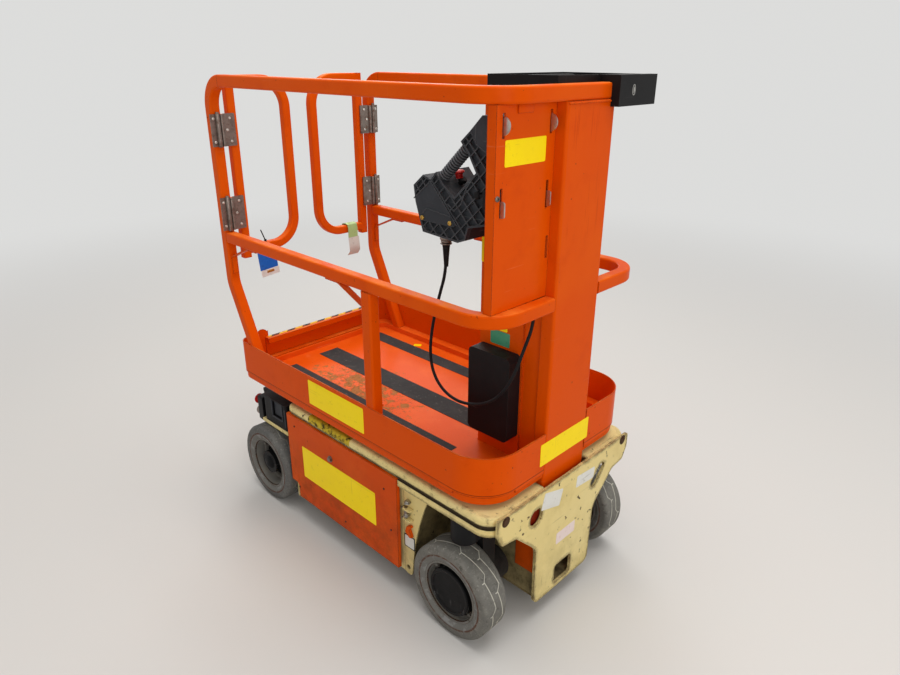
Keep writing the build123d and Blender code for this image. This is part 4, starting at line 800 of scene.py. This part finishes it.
# Gate hinges: steel leaves over the gates' own, barrels, springs on the posts, and screws. A barrel or spring is
# rods one over the other: share of the hinge's height and a step, share as length and some more, radius past the pin
hingeFacts = {
    "x": -0.6457, "leafThick": 0.005, "leafWide": 0.034, "leafMore": 0.009, "leafBack": 0.0002, "leafOut": 0.0008,
    "leafCorner": 0.0028, "axisX": -0.6377, "axisY": 0.3347, "pinR": 0.006, "pinGap": 0.001,
    "springAt": (0.001, 0.0155), "round": 0.0008, "rows": [(1.110, 1.230), (1.410, 1.520)],
    "spring": [(0.5, 0, 1, 0.004, 0.0016), (1, 0.004, 0, 0.006, 0), (0, 0.02, 0, 0.003, 0.0023),
               (1, -0.02, 0, 0.003, 0.0023)],
    "barrel": [(0.75, 0, 0.5, -skin, 0.0008), (0.98, 0, 0, 0.004, -0.0008), (0.675, 0, 0, 0.003, 0.0016)],
    "screw": 0.0092, "screwsAt": ((0.14, 0.7), (0.5, 0.32), (0.86, 0.7)),
}


def stackedRods(kind, x, y, low, high):
    rods = []
    for share, step, part, more, past in hingeFacts[kind]:
        made = rod(hingeFacts["pinR"] + past, (high - low) * part + more, (x, y, low + (high - low) * share + step))
        rods.append(rounded(made, hingeFacts["round"], 2, rims))
    return rods


def gateHinges():
    facts = hingeFacts
    face, inner = facts["x"] + facts["leafThick"], facts["pinR"] + facts["pinGap"]
    outer = face + facts["leafOut"]
    screw = capScrew("hingeScrew", facts["screw"])
    springs = []
    for side in (1, -1):
        for low, high in facts["rows"]:
            x, y = facts["axisX"] + facts["springAt"][0], side * (facts["axisY"] + facts["springAt"][1])
            springs += stackedRods("spring", x, y, low, high)
    finished(joined("hingeSprings", springs), "platform", hingeSteel)
    for side, hand in ((1, "left"), (-1, "right")):
        leaves = []
        places = {"gate_" + hand: [], "platform": []}
        for low, high in facts["rows"]:
            y = sorted(side * (facts["axisY"] - inner - wide) for wide in (0, facts["leafWide"] + facts["leafMore"]))
            leaf = spanBox("leaf", (facts["x"] + facts["leafBack"], y[0] - skin, low - skin),
                           (outer, y[1] + skin, high + skin))
            leaves.append(rounded(leaf, facts["leafCorner"], 3, lambda edge: along(edge, "x")))
            leaves += stackedRods("barrel", facts["axisX"], side * facts["axisY"], low, high)
            for share, across in facts["screwsAt"]:
                z, reach = low + (high - low) * share, inner + facts["leafWide"] * across
                places["gate_" + hand].append(((outer, side * (facts["axisY"] - reach), z), *front))
                places["platform"].append(((face, side * (facts["axisY"] + reach), z), *front))
        finished(joined("gateHinges_" + hand, leaves), "gate_" + hand, hingeSteel)
        for body, spots in places.items():
            scattered(screw, "hingeScrews_" + body + "_" + hand, spots, body, brightZinc)
    bpy.data.objects.remove(screw)


gateHinges()
print("hinges dressed")

# End panel: half-disc hooks, tongues, a screw and a tab under the rail
hookFacts = {"face": faces["endPanel"], "discs": [(-0.310, 1.563), (-0.128, 1.561)], "discR": 0.0225, "thick": 0.004,
             "tongues": [(-0.312, 1.370), (-0.130, 1.374)], "tongueTall": 0.040, "tongueOut": 0.013,
             "screw": (-0.327, 1.398), "screwSize": 0.014, "sunk": 0.003, "gap": 0.0002, "discRound": 0.0006,
             "tongueRound": 0.006, "tab": ((0.6265, -0.262, 1.588), (0.630, -0.205, 1.6098)), "tabRound": 0.0012}


def panelHooks():
    facts = hookFacts
    face, half = facts["face"], facts["thick"] / 2
    parts = []
    for y, z in facts["discs"]:
        disc = rod(facts["discR"], facts["thick"], (face - facts["sunk"], y, z), 40, (math.pi / 2, 0, 0))
        opened(disc)
        bpy.ops.mesh.select_all(action="SELECT")
        bpy.ops.mesh.bisect(plane_co=(face + facts["gap"], 0, 0), plane_no=(1, 0, 0), clear_inner=True,
                            use_fill=True)
        bpy.ops.object.mode_set(mode="OBJECT")
        parts.append(rounded(disc, facts["discRound"], 2, lambda edge: middle(edge).x > face + 0.001))
    for y, z in facts["tongues"]:
        tongue = spanBox("tongue", (face + facts["gap"], y - half, z - facts["tongueTall"] / 2),
                         (face + facts["tongueOut"], y + half, z + facts["tongueTall"] / 2))
        outEdge = lambda edge: along(edge, "y") and middle(edge).x > face + half
        parts.append(rounded(tongue, facts["tongueRound"], 4, outEdge))
    finished(joined("panelHooks", parts), "platform", boltZinc)
    screw = capScrew("panelScrew", facts["screwSize"])
    scattered(screw, "panelScrew_near", [((face, *facts["screw"]), *front)], "platform", hingeSteel)
    bpy.data.objects.remove(screw)
    finished(rounded(spanBox("railTab", *facts["tab"]), facts["tabRound"]), "platform", paint["orangePaint"])


panelHooks()

# Weld beads: across the top of the mast cover and at both ends of the mid posts
weldFacts = {"mastTop": (0.6612, 1.6045), "inset": 0.004, "postY": 0.331, "postFoot": 0.679, "size": 0.006}


def welds():
    facts = weldFacts
    (x, z), coverBox, postBox = facts["mastTop"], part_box("mast_cover"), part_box("mid_posts")
    rows = [[(x, coverBox[0].y + facts["inset"], z), (x, coverBox[1].y - facts["inset"], z)]]
    for side in (1, -1):
        for height in (postBox[1].z, facts["postFoot"]):
            rows.append([(corner.x, side * facts["postY"], height) for corner in postBox])
    beads = [weldBead("bead", row, facts["size"]) for row in rows]
    finished(joined("weldBeads", beads), "platform", paint["orangePaint"])


welds()
print("panel and welds dressed")

# Ground control box: a frame round its recess, a rib, a pocket, and the boss with its stop button and key knob
groundFacts = {
    "frameX": (-0.494, -0.416), "frameZ": (0.380, 0.455), "bar": 0.006, "out": -0.003, "in": 0.002,
    "rib": ((-0.404, -0.398), (-0.002, 0.002), (0.362, 0.440)),
    "pocket": ((-0.484, -0.428), (0.006, 0.017), (0.39, 0.447)),
    "boss": ((-0.6055, -0.345, 0.325), (-0.5663, -0.266, 0.433)), "stop": (-0.6055, -0.322, 0.401),
    "bossRound": 0.008, "knob": (-0.6055, -0.322, 0.353), "knobR": 0.0195, "knobTall": 0.02, "knurls": 44,
    "knurlIn": 0.94, "knobRim": 0.003, "edgeLow": (0.002, -0.0035, -0.009), "edgeHigh": (-0.001, 0.0035, 0.0004),
    "stopProfile": [(0, 0.031), (0.009, 0.0302), (0.016, 0.0278), (0.0208, 0.0235), (0.0215, 0.020),
                    (0.0195, 0.0175), (0.0125, 0.0165), (0.0125, -0.001), (0, -0.001)],
}


def controlBoxDress():
    facts = groundFacts
    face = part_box("ground_control_box")[0].y
    (x0, x1), (z0, z1), bar = facts["frameX"], facts["frameZ"], facts["bar"]
    bars = (x0, x0 + bar, z0, z1), (x1 - bar, x1, z0, z1), (x0, x1, z0, z0 + bar)
    parts = []
    for lowX, highX, lowZ, highZ in bars:
        side = spanBox("bar", (lowX, face + facts["out"], lowZ), (highX, face + facts["in"], highZ))
        parts.append(rounded(side, 0.0015))
    for key, width, steps in (("rib", 0.001, 2), ("pocket", 0.003, 3)):
        (lowX, highX), (lowY, highY), (lowZ, highZ) = facts[key]
        parts.append(rounded(spanBox(key, (lowX, face + lowY, lowZ), (highX, face + highY, highZ)), width, steps))
    finished(joined("controlBoxFrame", parts), "chassis", controllerPlastic)


def isKnurl(edge):  # every other upright edge round the knob
    step = 360 / groundFacts["knurls"]
    turn = math.degrees(math.atan2(middle(edge).y, middle(edge).x))
    return along(edge, "z") and int(round(turn / step)) % 2 == 0


def groundControls():
    facts = groundFacts
    boss = spanBox("controlBoss", *facts["boss"])
    inside = facts["boss"][0][0] + 0.0155
    rounded(boss, facts["bossRound"], 4, lambda edge: middle(edge).x < inside or along(edge, "x"))
    finished(boss, "chassis", boxPlastic)
    toBack = Matrix.Rotation(math.radians(-90), 4, "Y")
    head = lathe("groundStop", facts["stopProfile"], "z")
    finished(placed(head, shifted(*facts["stop"]) @ toBack), "chassis", redPlastic)
    opened(rod(facts["knobR"], facts["knobTall"], (0, 0, facts["knobTall"] / 2), facts["knurls"]))
    pick("EDGE", isKnurl)
    bpy.ops.transform.resize(value=(facts["knurlIn"], facts["knurlIn"], 1))
    pick("FACE", onTop)
    stepped(facts["knobRim"], -facts["knobRim"])
    knob = closed(20)
    knob.name = "keyKnob"
    finished(placed(knob, shifted(*facts["knob"]) @ toBack), "chassis", hingeSteel)
    low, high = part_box("control_shelf")  # the shelf's near edge is rolled
    edge = spanBox("shelfEdge", low + Vector(facts["edgeLow"]),
                   Vector((high.x, low.y, high.z)) + Vector(facts["edgeHigh"]))
    finished(rounded(edge, 0.003, 3), "chassis", paint["creamPaint"])


controlBoxDress()
groundControls()
print("ground controls dressed")

# Doors: one hexagon lock and small dark screws, as x and z on the door's face
doorFacts = {"lock": (-0.079, 0.377), "lockSize": 0.016, "screwSize": 0.007,
             "screws": [(-0.300, 0.420), (0.215, 0.395), (0.245, 0.245), (-0.010, 0.140), (-0.3, 0.15)]}


def doorDress():
    facts = doorFacts
    lock = hexScrew("hexLock", facts["lockSize"])
    screw = capScrew("doorScrew", facts["screwSize"])
    for hand, y, way in (("right", faces["door"], near), ("left", faces["farDoor"], far)):
        x, z = facts["lock"]
        scattered(lock, "doorLock_" + hand, [((x, y, z), *way)], "door_" + hand, hingeSteel)
        spots = [((x, y, z), *way) for x, z in facts["screws"]]
        scattered(screw, "doorScrews_" + hand, spots, "door_" + hand, paint["blackPaint"])
    bpy.data.objects.remove(lock)
    bpy.data.objects.remove(screw)


doorDress()
print("doors dressed")

# Arch panels: cream latch tabs with bolts on them, a small blank label, folded rear flanges
archFacts = {
    "face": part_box("arch_panels")[0].y, "x": 0.312, "tabs": (0.357, 0.317), "tabHalf": 0.0175, "tabOut": 0.019,
    "tabThick": 0.0064, "bolt": 0.015, "boltOut": 0.009, "boltUp": (0.0245, 0.014), "boltBack": (0, 0.004),
    "label": (0.309, 0.218), "labelSize": 0.052, "border": 0.008,
    "flangeX": (0.237, 0.2838), "flangeY": (0.3395, 0.3425), "flangeZ": (0.082, 0.436),
}


def archDress():
    facts = archFacts
    flanges = []
    for side, hand in ((-1, "near"), (1, "far")):
        y = side * abs(facts["face"])
        tabs = []
        for z in facts["tabs"]:
            ends = sorted((y, y + side * facts["tabOut"]))
            tab = spanBox("tab", (facts["x"] - facts["tabHalf"], ends[0], z - facts["tabThick"] / 2),
                          (facts["x"] + facts["tabHalf"], ends[1], z + facts["tabThick"] / 2))
            rounded(tab, 0.006, 3, lambda edge: along(edge, "z") and abs(middle(edge).y) > abs(y) + 0.01)
            tabs.append(rounded(tab, 0.0008, 2, rims))
        finished(joined("latchTabs_" + hand, tabs), "chassis", paint["creamPaint"])
        bolt = hexScrew("latchBolt", facts["bolt"])
        spots = [((facts["x"] - back, side * (abs(y) + facts["boltOut"]), z + up), (1, 0, 0), (0, 1, 0))
                 for z, up, back in zip(facts["tabs"], facts["boltUp"], facts["boltBack"])]
        scattered(bolt, "latchBolts_" + hand, spots, "chassis", boltZinc)
        bpy.data.objects.remove(bolt)
    for side in (1, -1):
        ends = sorted(side * y for y in facts["flangeY"])
        low, high = zip(facts["flangeX"], ends, facts["flangeZ"])
        flanges.append(rounded(spanBox("flange", low, high), 0.001))
    finished(joined("panelFlanges", flanges), "chassis", paint["creamPaint"])
    (x, z), size = facts["label"], facts["labelSize"]
    finished(plate("archLabelBorder", (x, facts["face"], z), *near, (size, size)), "chassis", paint["blackPaint"])
    inner = size - facts["border"]
    finished(plate("archLabel", (x, facts["face"] - skin, z), *near, (inner, inner)), "chassis", whiteVinyl)


archDress()

# A blank, dirty label wrapped over the edge of the chassis cap
capFacts = {"x": (-0.205, 0.035), "top": 0.500, "outY": 0.367, "edgeR": 0.013, "inY": 0.347, "low": 0.478,
            "thick": 0.0005, "lift": 0.0003, "bends": 8}


def capLabel():
    facts = capFacts
    y, z, r, lift = -facts["outY"], facts["top"], facts["edgeR"], facts["lift"]
    turns = [math.radians(90 * i / facts["bends"]) for i in range(facts["bends"] + 1)]
    bend = [(y + r - (r + lift) * math.sin(turn), z - r + (r + lift) * math.cos(turn)) for turn in turns]
    points = [(-facts["inY"], z + lift), *bend, (y - lift, facts["low"])]
    finished(bentStrip("capLabel", points, facts["x"], "x", facts["thick"], 1, 40), "chassis", dirtyYellow)


capLabel()
print("chassis labels on")

# Controller: case screws, raised ribs by the x and z of their ends, a catch, and the plug's collar and sleeve
controllerFacts = {
    "face": -0.265, "screws": [(0.305, 1.294), (0.412, 1.295), (0.549, 1.340)], "screwSize": 0.013,
    "collar": (0.334, -0.200, 1.224),
    "rings": [(0.006, 0.0185, 0.009), (0.017, 0.0165, 0.008), (-0.003, 0.0158, 0.006), (-0.010, 0.0172, 0.004)],
    "sleeve": [(0.006, 1.1445), (0.0064, 1.146), (0.0105, 1.203), (0.0112, 1.2045), (0.0112, 1.212), (0.006, 1.212)],
    "ribs": [[(0.300, 1.302), (0.322, 1.322), (0.410, 1.313), (0.424, 1.290)],
             [(0.272, 1.344), (0.337, 1.398), (0.436, 1.292)],
             [(0.486, 1.534), (0.502, 1.508), (0.532, 1.492), (0.600, 1.508)],
             [(0.498, 1.430), (0.470, 1.395), (0.452, 1.352), (0.426, 1.330), (0.404, 1.345)]],
    "ribWide": 0.0032, "ribThick": 0.0018, "ribCorner": 0.0012, "ribLap": 0.002, "catch": (0.512, 1.384),
    "catchKnob": [(0, 0.010), (0.007, 0.0095), (0.0095, 0.007), (0.0105, 0.0), (0, 0.0)],
    "catchBlocks": [((0, -0.006, -0.004), (0.024, 0.002, 0.004), 0.001, 2),
                    ((0.020, -0.009, -0.032), (0.048, 0.002, 0.016), 0.003, 3)],
}


def controllerDress():
    facts = controllerFacts
    face, (x, y, z) = facts["face"], facts["collar"]
    screw = capScrew("caseScrew", facts["screwSize"])
    spots = [((atX, face, atZ), *near) for atX, atZ in facts["screws"]]
    scattered(screw, "controllerScrews", spots, "platform", brass)
    bpy.data.objects.remove(screw)
    collar = [rounded(rod(radius, depth, (x, y, z + up)), 0.001, 2, rims) for up, radius, depth in facts["rings"]]
    finished(joined("plugCollar", collar), "platform", hingeSteel)
    finished(placed(lathe("cordSleeve", facts["sleeve"], "z"), shifted(x, y, 0)), "platform", blackRubber)
    ribs = []
    for line in facts["ribs"]:
        for (x0, z0), (x1, z1) in zip(line, line[1:]):
            step = Vector((x1 - x0, 0, z1 - z0))
            up = Vector((-step.z, 0, step.x)).normalized()
            ribs.append(plate("rib", ((x0 + x1) / 2, face, (z0 + z1) / 2), step.normalized(), up,
                              (step.length + facts["ribLap"], facts["ribWide"]), facts["ribThick"],
                              facts["ribCorner"]))
    finished(joined("controllerRibs", ribs), "platform", controllerPlastic)
    x, z = facts["catch"]
    at = Vector((x, face, z))
    knob = placed(lathe("catchKnob", facts["catchKnob"]), Matrix.Translation(at) @ Matrix.Diagonal((1, -1, 1, 1)))
    knob.data.flip_normals()
    blocks = [rounded(spanBox("block", at + Vector(low), at + Vector(high)), width, steps)
              for low, high, width, steps in facts["catchBlocks"]]
    finished(joined("controllerCatch", [knob, *blocks]), "platform", boxPlastic)


controllerDress()

# Controller's grip: bellows rings along it, paler than the grip as a painted highlight on their crests, and the
# stop's mushroom head
gripFacts = {
    "low": (0.371, -0.247, 1.411), "high": (0.461, -0.247, 1.497), "rings": 13, "pitch": 0.009, "ringR": 0.0152,
    "wireR": 0.0016, "stopFoot": (0.393, -0.213, 1.4228), "lean": (-6, -4, 42),
    "stopProfile": [(0, 0.0062), (0.008, 0.0058), (0.0140, 0.0040), (0.0163, 0.0012), (0.0166, -0.0012),
                    (0.0150, -0.0030), (0.0105, -0.0040), (0.0100, -0.0160), (0, -0.0160)],
}


def gripDress():
    facts = gripFacts
    low, run = Vector(facts["low"]), Vector(facts["high"]) - Vector(facts["low"])
    rings = []
    for i in range(facts["rings"]):
        at = low + run / 2 + run.normalized() * facts["pitch"] * (i - (facts["rings"] - 1) / 2)
        bpy.ops.object.select_all(action="DESELECT")
        bpy.ops.mesh.primitive_torus_add(major_radius=facts["ringR"], minor_radius=facts["wireR"],
                                         major_segments=28, minor_segments=8, location=(0, 0, 0))
        bpy.ops.object.shade_smooth()
        rings.append(placed(bpy.context.object, Matrix.Translation(at) @ pointing(run)))
    finished(joined("gripBellows", rings), "platform", bellowsHighlight)
    head = lathe("stopHead", facts["stopProfile"], "z")
    placed(head, shifted(*facts["stopFoot"]) @ pointing(Vector(facts["lean"]).normalized()))
    finished(head, "platform", redPlastic)


gripDress()

# Tool tray: two raised humps across it, and the lock of the hooked box
trayFacts = {"grips": [(0.430, 0.475), (0.525, 0.575)], "y": (-0.085, 0.215), "top": 1.665, "foot": 1.628,
             "narrowed": (0.55, 0.86), "round": 0.005, "lock": (0.6838, 0.149, 1.630), "lockR": 0.011,
             "lockThick": 0.0024, "lockShape": (0.72, 1.25), "lockSteps": [(0.002, -0.0008), (0.003, 0.0012)]}


def trayDress():
    facts = trayFacts
    grips = []
    for x0, x1 in facts["grips"]:
        grip = spanBox("grip", (x0, facts["y"][0], facts["foot"]), (x1, facts["y"][1], facts["top"]))
        opened(grip)
        pick("FACE", onTop)
        bpy.ops.transform.resize(value=(*facts["narrowed"], 1))
        bpy.ops.object.mode_set(mode="OBJECT")
        grips.append(rounded(grip, facts["round"], 3, lambda edge: middle(edge).z > facts["foot"] + 0.01))
    finished(joined("trayGrips", grips), "platform", boxPlastic)
    opened(rod(facts["lockR"], facts["lockThick"], (0, 0, facts["lockThick"] / 2), 40))
    bpy.ops.mesh.select_all(action="SELECT")
    bpy.ops.transform.resize(value=(*facts["lockShape"], 1))
    pick("FACE", onTop)
    for inset, step in facts["lockSteps"]:
        stepped(inset, step)
    lock = closed()
    lock.name = "boxLock"
    finished(placed(lock, axes(facts["lock"], *front)), "platform", boltZinc)


trayDress()
print("controller and tray dressed")

# Gates: a ribbon folded over the far gate's lower tube, a cable tie and the tag's strap on the near one
tagFacts = {
    "ribbonY": (0.190, 0.240), "ribbonThick": 0.0008, "x": -0.6617, "tieY": -0.199, "tubeZ": 1.020, "tubeR": 0.0175,
    "tieR": 0.0188, "tieWire": 0.0012, "tail": (0.0015, 0.0022, 0.019, 0.066), "tailRun": (0.006, -0.020, 0),
    "head": (0.0035, 0.004, 0.0176, 0.0246),  # half its two widths, and from and to above the tube's middle
    "strap": ((-0.6437, -0.206, 1.000), (-0.6427, -0.196, 1.018)),
    "over": [(1.25, 0.975), (1.28, 1.020), (1.1, 1.03925), (0, 1.043625), (-1.1, 1.03925), (-1.28, 1.020),
             (-1.2, 1.008)],  # across in tube radii, and height
    "below": [(-0.64995, 0.905), (-0.63295, 0.925), (-0.63495, 0.955), (-0.638625, 0.984)],
}


def standing(name):  # a block over the tube's middle
    x, y, z = tagFacts["x"], tagFacts["tieY"], tagFacts["tubeZ"]
    halfX, halfY, low, high = tagFacts[name]
    return spanBox(name, (x - halfX, y - halfY, z + low), (x + halfX, y + halfY, z + high))


def gateTags():
    facts = tagFacts
    x, y, z, low, high = facts["x"], facts["tieY"], facts["tubeZ"], facts["ribbonY"][0], facts["ribbonY"][1]
    over = [(x + facts["tubeR"] * share, height) for share, height in facts["over"]]
    finished(bentStrip("gateRibbon", over, (low, high), "y", facts["ribbonThick"], -1, 50), "gate_left", paleGreen)
    end = bentStrip("gateRibbonLow", facts["below"], (low - 0.002, high + 0.004), "y", facts["ribbonThick"], -1, 50)
    finished(end, "gate_left", paleCloth)
    bpy.ops.object.select_all(action="DESELECT")
    bpy.ops.mesh.primitive_torus_add(major_radius=facts["tieR"], minor_radius=facts["tieWire"], major_segments=40,
                                     minor_segments=8, location=(x, y, z), rotation=(math.pi / 2, 0, 0))
    tie = applied()
    tail = standing("tail")
    opened(tail)
    pick("FACE", onTop)
    bpy.ops.transform.translate(value=facts["tailRun"])
    bpy.ops.object.mode_set(mode="OBJECT")
    parts = [tie, rounded(tail, 0.0006, 1), rounded(standing("head"), 0.001)]
    finished(joined("cableTie", parts), "gate_right", blackRubber)
    finished(rounded(spanBox("tagStrap", *facts["strap"]), 0.0004, 1), "gate_right", blackRubber)


gateTags()
print("tags hung")

# Wheels: hub covers, dished rings in the rims and their bolts. A profile's point is its radius, the face that its
# reach is taken from (out: the tyre's side, disc: the rim's disc, hub: the hub's end) and how far past that face
wheelFacts = {
    "axle": (0.52, 0.1615), "outY": 0.38, "bolt": 0.014,
    "front": {
        "disc": 0.346, "boltOut": 0.007, "boltR": 0.0905, "boltTurns": (-0.62, 2.45),
        "hubCover": [(0, "out", -0.0065), (0.069, "out", -0.0065), (0.071, "out", -0.0035), (0.078, "out", -0.003),
                     (0.081, "out", -0.006), (0.081, "disc", 0.006), (0.085, "disc", 0.0006), (0, "disc", 0.0006)],
        "rimDish": [(0.0985, "out", -0.007), (0.0945, "disc", 0.012), (0.088, "disc", 0.006), (0.088, "disc", 0.001),
                    (0.0985, "disc", 0.001)],
    },
    "rear": {
        "disc": 0.314, "boltOut": 0.018, "boltR": 0.086, "boltTurns": (-1.1, 0.2, 2.6),
        "hubCover": [(0, "hub", 0.012), (0.012, "hub", 0.011), (0.024, "hub", 0.007), (0.030, "hub", 0.0006),
                     (0.048, "hub", 0.0006), (0.050, "disc", 0.016), (0.056, "disc", 0.014), (0.059, "disc", 0.007),
                     (0.069, "disc", 0.006), (0.071, "disc", 0.011), (0.0755, "disc", 0.011),
                     (0.0785, "disc", 0.0006), (0, "disc", 0.0006)],
        "rimDish": [(0.0985, "out", -0.007), (0.089, "disc", 0.02), (0.084, "disc", 0.016), (0.0795, "disc", 0.001),
                    (0.0985, "disc", 0.001)],
    },
}


def wheelDress():
    facts = wheelFacts
    axleX, axleZ = facts["axle"]
    bolt = hexScrew("rimBolt", facts["bolt"])
    for end, x in (("front", axleX), ("rear", -axleX)):
        own = facts[end]
        base = {"out": facts["outY"], "disc": own["disc"], "hub": abs(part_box("hub_rear_right")[0].y)}
        for hand, side, way in (("left", 1, far), ("right", -1, near)):
            body = "wheel_" + end + "_" + hand
            for name, finish in (("hubCover", "hubPaint"), ("rimDish", "rimSteel")):
                profile = [(radius, base[face] + past) for radius, face, past in own[name]]
                piece = lathe(name + "_" + end + "_" + hand, profile)
                placed(piece, shifted(x, 0, axleZ) @ Matrix.Diagonal((1, side, 1, 1)))
                if side < 0:
                    piece.data.flip_normals()
                finished(piece, body, paint[finish])
            spots = [((x + own["boltR"] * math.cos(turn), side * (own["disc"] + own["boltOut"]),
                       axleZ + own["boltR"] * math.sin(turn)), *way) for turn in own["boltTurns"]]
            scattered(bolt, "rimBolts_" + end + "_" + hand, spots, body, paint["rimSteel"])
    bpy.data.objects.remove(bolt)


wheelDress()
print("wheels dressed")

# Mast end: orange foot plates, a plate behind the end plate's hole painted dark red as an orange face in shadow,
# rusty bolts
endFacts = {"footX": (0.588, 0.668), "footY": (0.1313, 0.1335), "footZ": (0.172, 0.300), "bolts": (-0.313, 0.313),
            "boltZ": 0.488, "boltSize": 0.022, "boltFlat": 0.2,
            "backing": ((0.667, -0.220, 0.372), (0.6705, -0.128, 0.452))}


def endDress():
    facts = endFacts
    feet = []
    for side in (1, -1):
        low, high = zip(facts["footX"], sorted(side * y for y in facts["footY"]), facts["footZ"])
        feet.append(rounded(spanBox("foot", low, high), 0.0008))
    finished(joined("mastFootPlates", feet), "chassis", paint["orangePaint"])
    finished(rounded(spanBox("shadedOrangeBacking", *facts["backing"]), 0.001), "chassis", paint["shadedOrangePaint"])
    bolt = hexScrew("rustyBolt", facts["boltSize"])
    onlyActive(bolt)
    bpy.ops.transform.resize(value=(1, 1, facts["boltFlat"]))
    applied()
    spots = [((faces["endPlate"], y, facts["boltZ"]), *front) for y in facts["bolts"]]
    scattered(bolt, "rustyBolts", spots, "chassis", rustySteel)
    bpy.data.objects.remove(bolt)


endDress()
print("small bits on")

# Light, floor and background; a lamp is its place, size, power and the point it looks at
stageFacts = {
    "floor": 14, "floorTone": tone(204, 200, 194), "floorPatch": tone(202, 200, 195),
    "backTone": (0.72, 0.72, 0.71, 1), "sky": (0.5, 0.5, 0.51, 1), "fadeFrom": 1.5, "fadeTo": 6.5,
    "lamps": {"overheadLamp": ((0.7, 0.3, 6.4), 5.2, 276, (0, 0, 0.6)),
              "sideLamp": ((4.2, -1.8, 2.4), 2.6, 52, (0, 0, 0.6)),
              "backLamp": ((-3.2, 2.6, 3.0), 2.6, 40, (0, 0, 0.8))},
}


def skyAndLamps():
    world = bpy.data.worlds.new("studio")
    bpy.context.scene.world = world
    world.use_nodes = True
    world.node_tree.nodes.clear()
    start = Wire(world.node_tree)
    seen = start.node("LightPath", {}, {}, "Is Camera Ray")
    for ray in ("Is Transmission Ray", "Is Glossy Ray"):
        seen = seen.most(start.node("LightPath", {}, {}, ray))
    colour = start.flat(stageFacts["sky"]).over(seen, stageFacts["backTone"])
    start.node("OutputWorld", {}, {"Surface": start.node("Background", {}, {"Color": colour, "Strength": 1.0})})
    for name, (at, size, power, aim) in stageFacts["lamps"].items():
        lamp = bpy.data.lights.new(name, "AREA")
        lamp.shape = "DISK"
        lamp.size = size
        lamp.energy = power
        obj = bpy.data.objects.new(name, lamp)
        obj.location = at
        obj.rotation_euler = (Vector(aim) - Vector(at)).to_track_quat("-Z", "Y").to_euler()
        bpy.context.scene.collection.objects.link(obj)


def paleFloor():  # a wide disc that turns into the background away from the lift
    bpy.ops.object.select_all(action="DESELECT")
    bpy.ops.mesh.primitive_circle_add(vertices=96, radius=stageFacts["floor"], fill_type="NGON", location=(0, 0, 0))
    floor = bpy.context.object
    floor.name = "floor"
    mat, start, spot = newFinish("paleFloor")
    patch = spot.noise(3, 5, 0.6).between(0.35, 0.7) * 0.25
    colour = start.flat(stageFacts["floorTone"]).over(patch, stageFacts["floorPatch"])
    shader = start.node("BsdfPrincipled", {}, {"Base Color": colour, "Roughness": 0.75})
    back = start.node("Emission", {}, {"Color": stageFacts["backTone"], "Strength": 1.0})
    away = spot.node("VectorMath", {"operation": "LENGTH"}, {0: spot}, "Value")
    away = away.between(stageFacts["fadeFrom"], stageFacts["fadeTo"])
    start.node("OutputMaterial", {}, {"Surface": start.node("MixShader", {}, {0: away, 1: shader, 2: back})})
    floor.data.materials.append(mat)


skyAndLamps()
paleFloor()
print("stage lit")
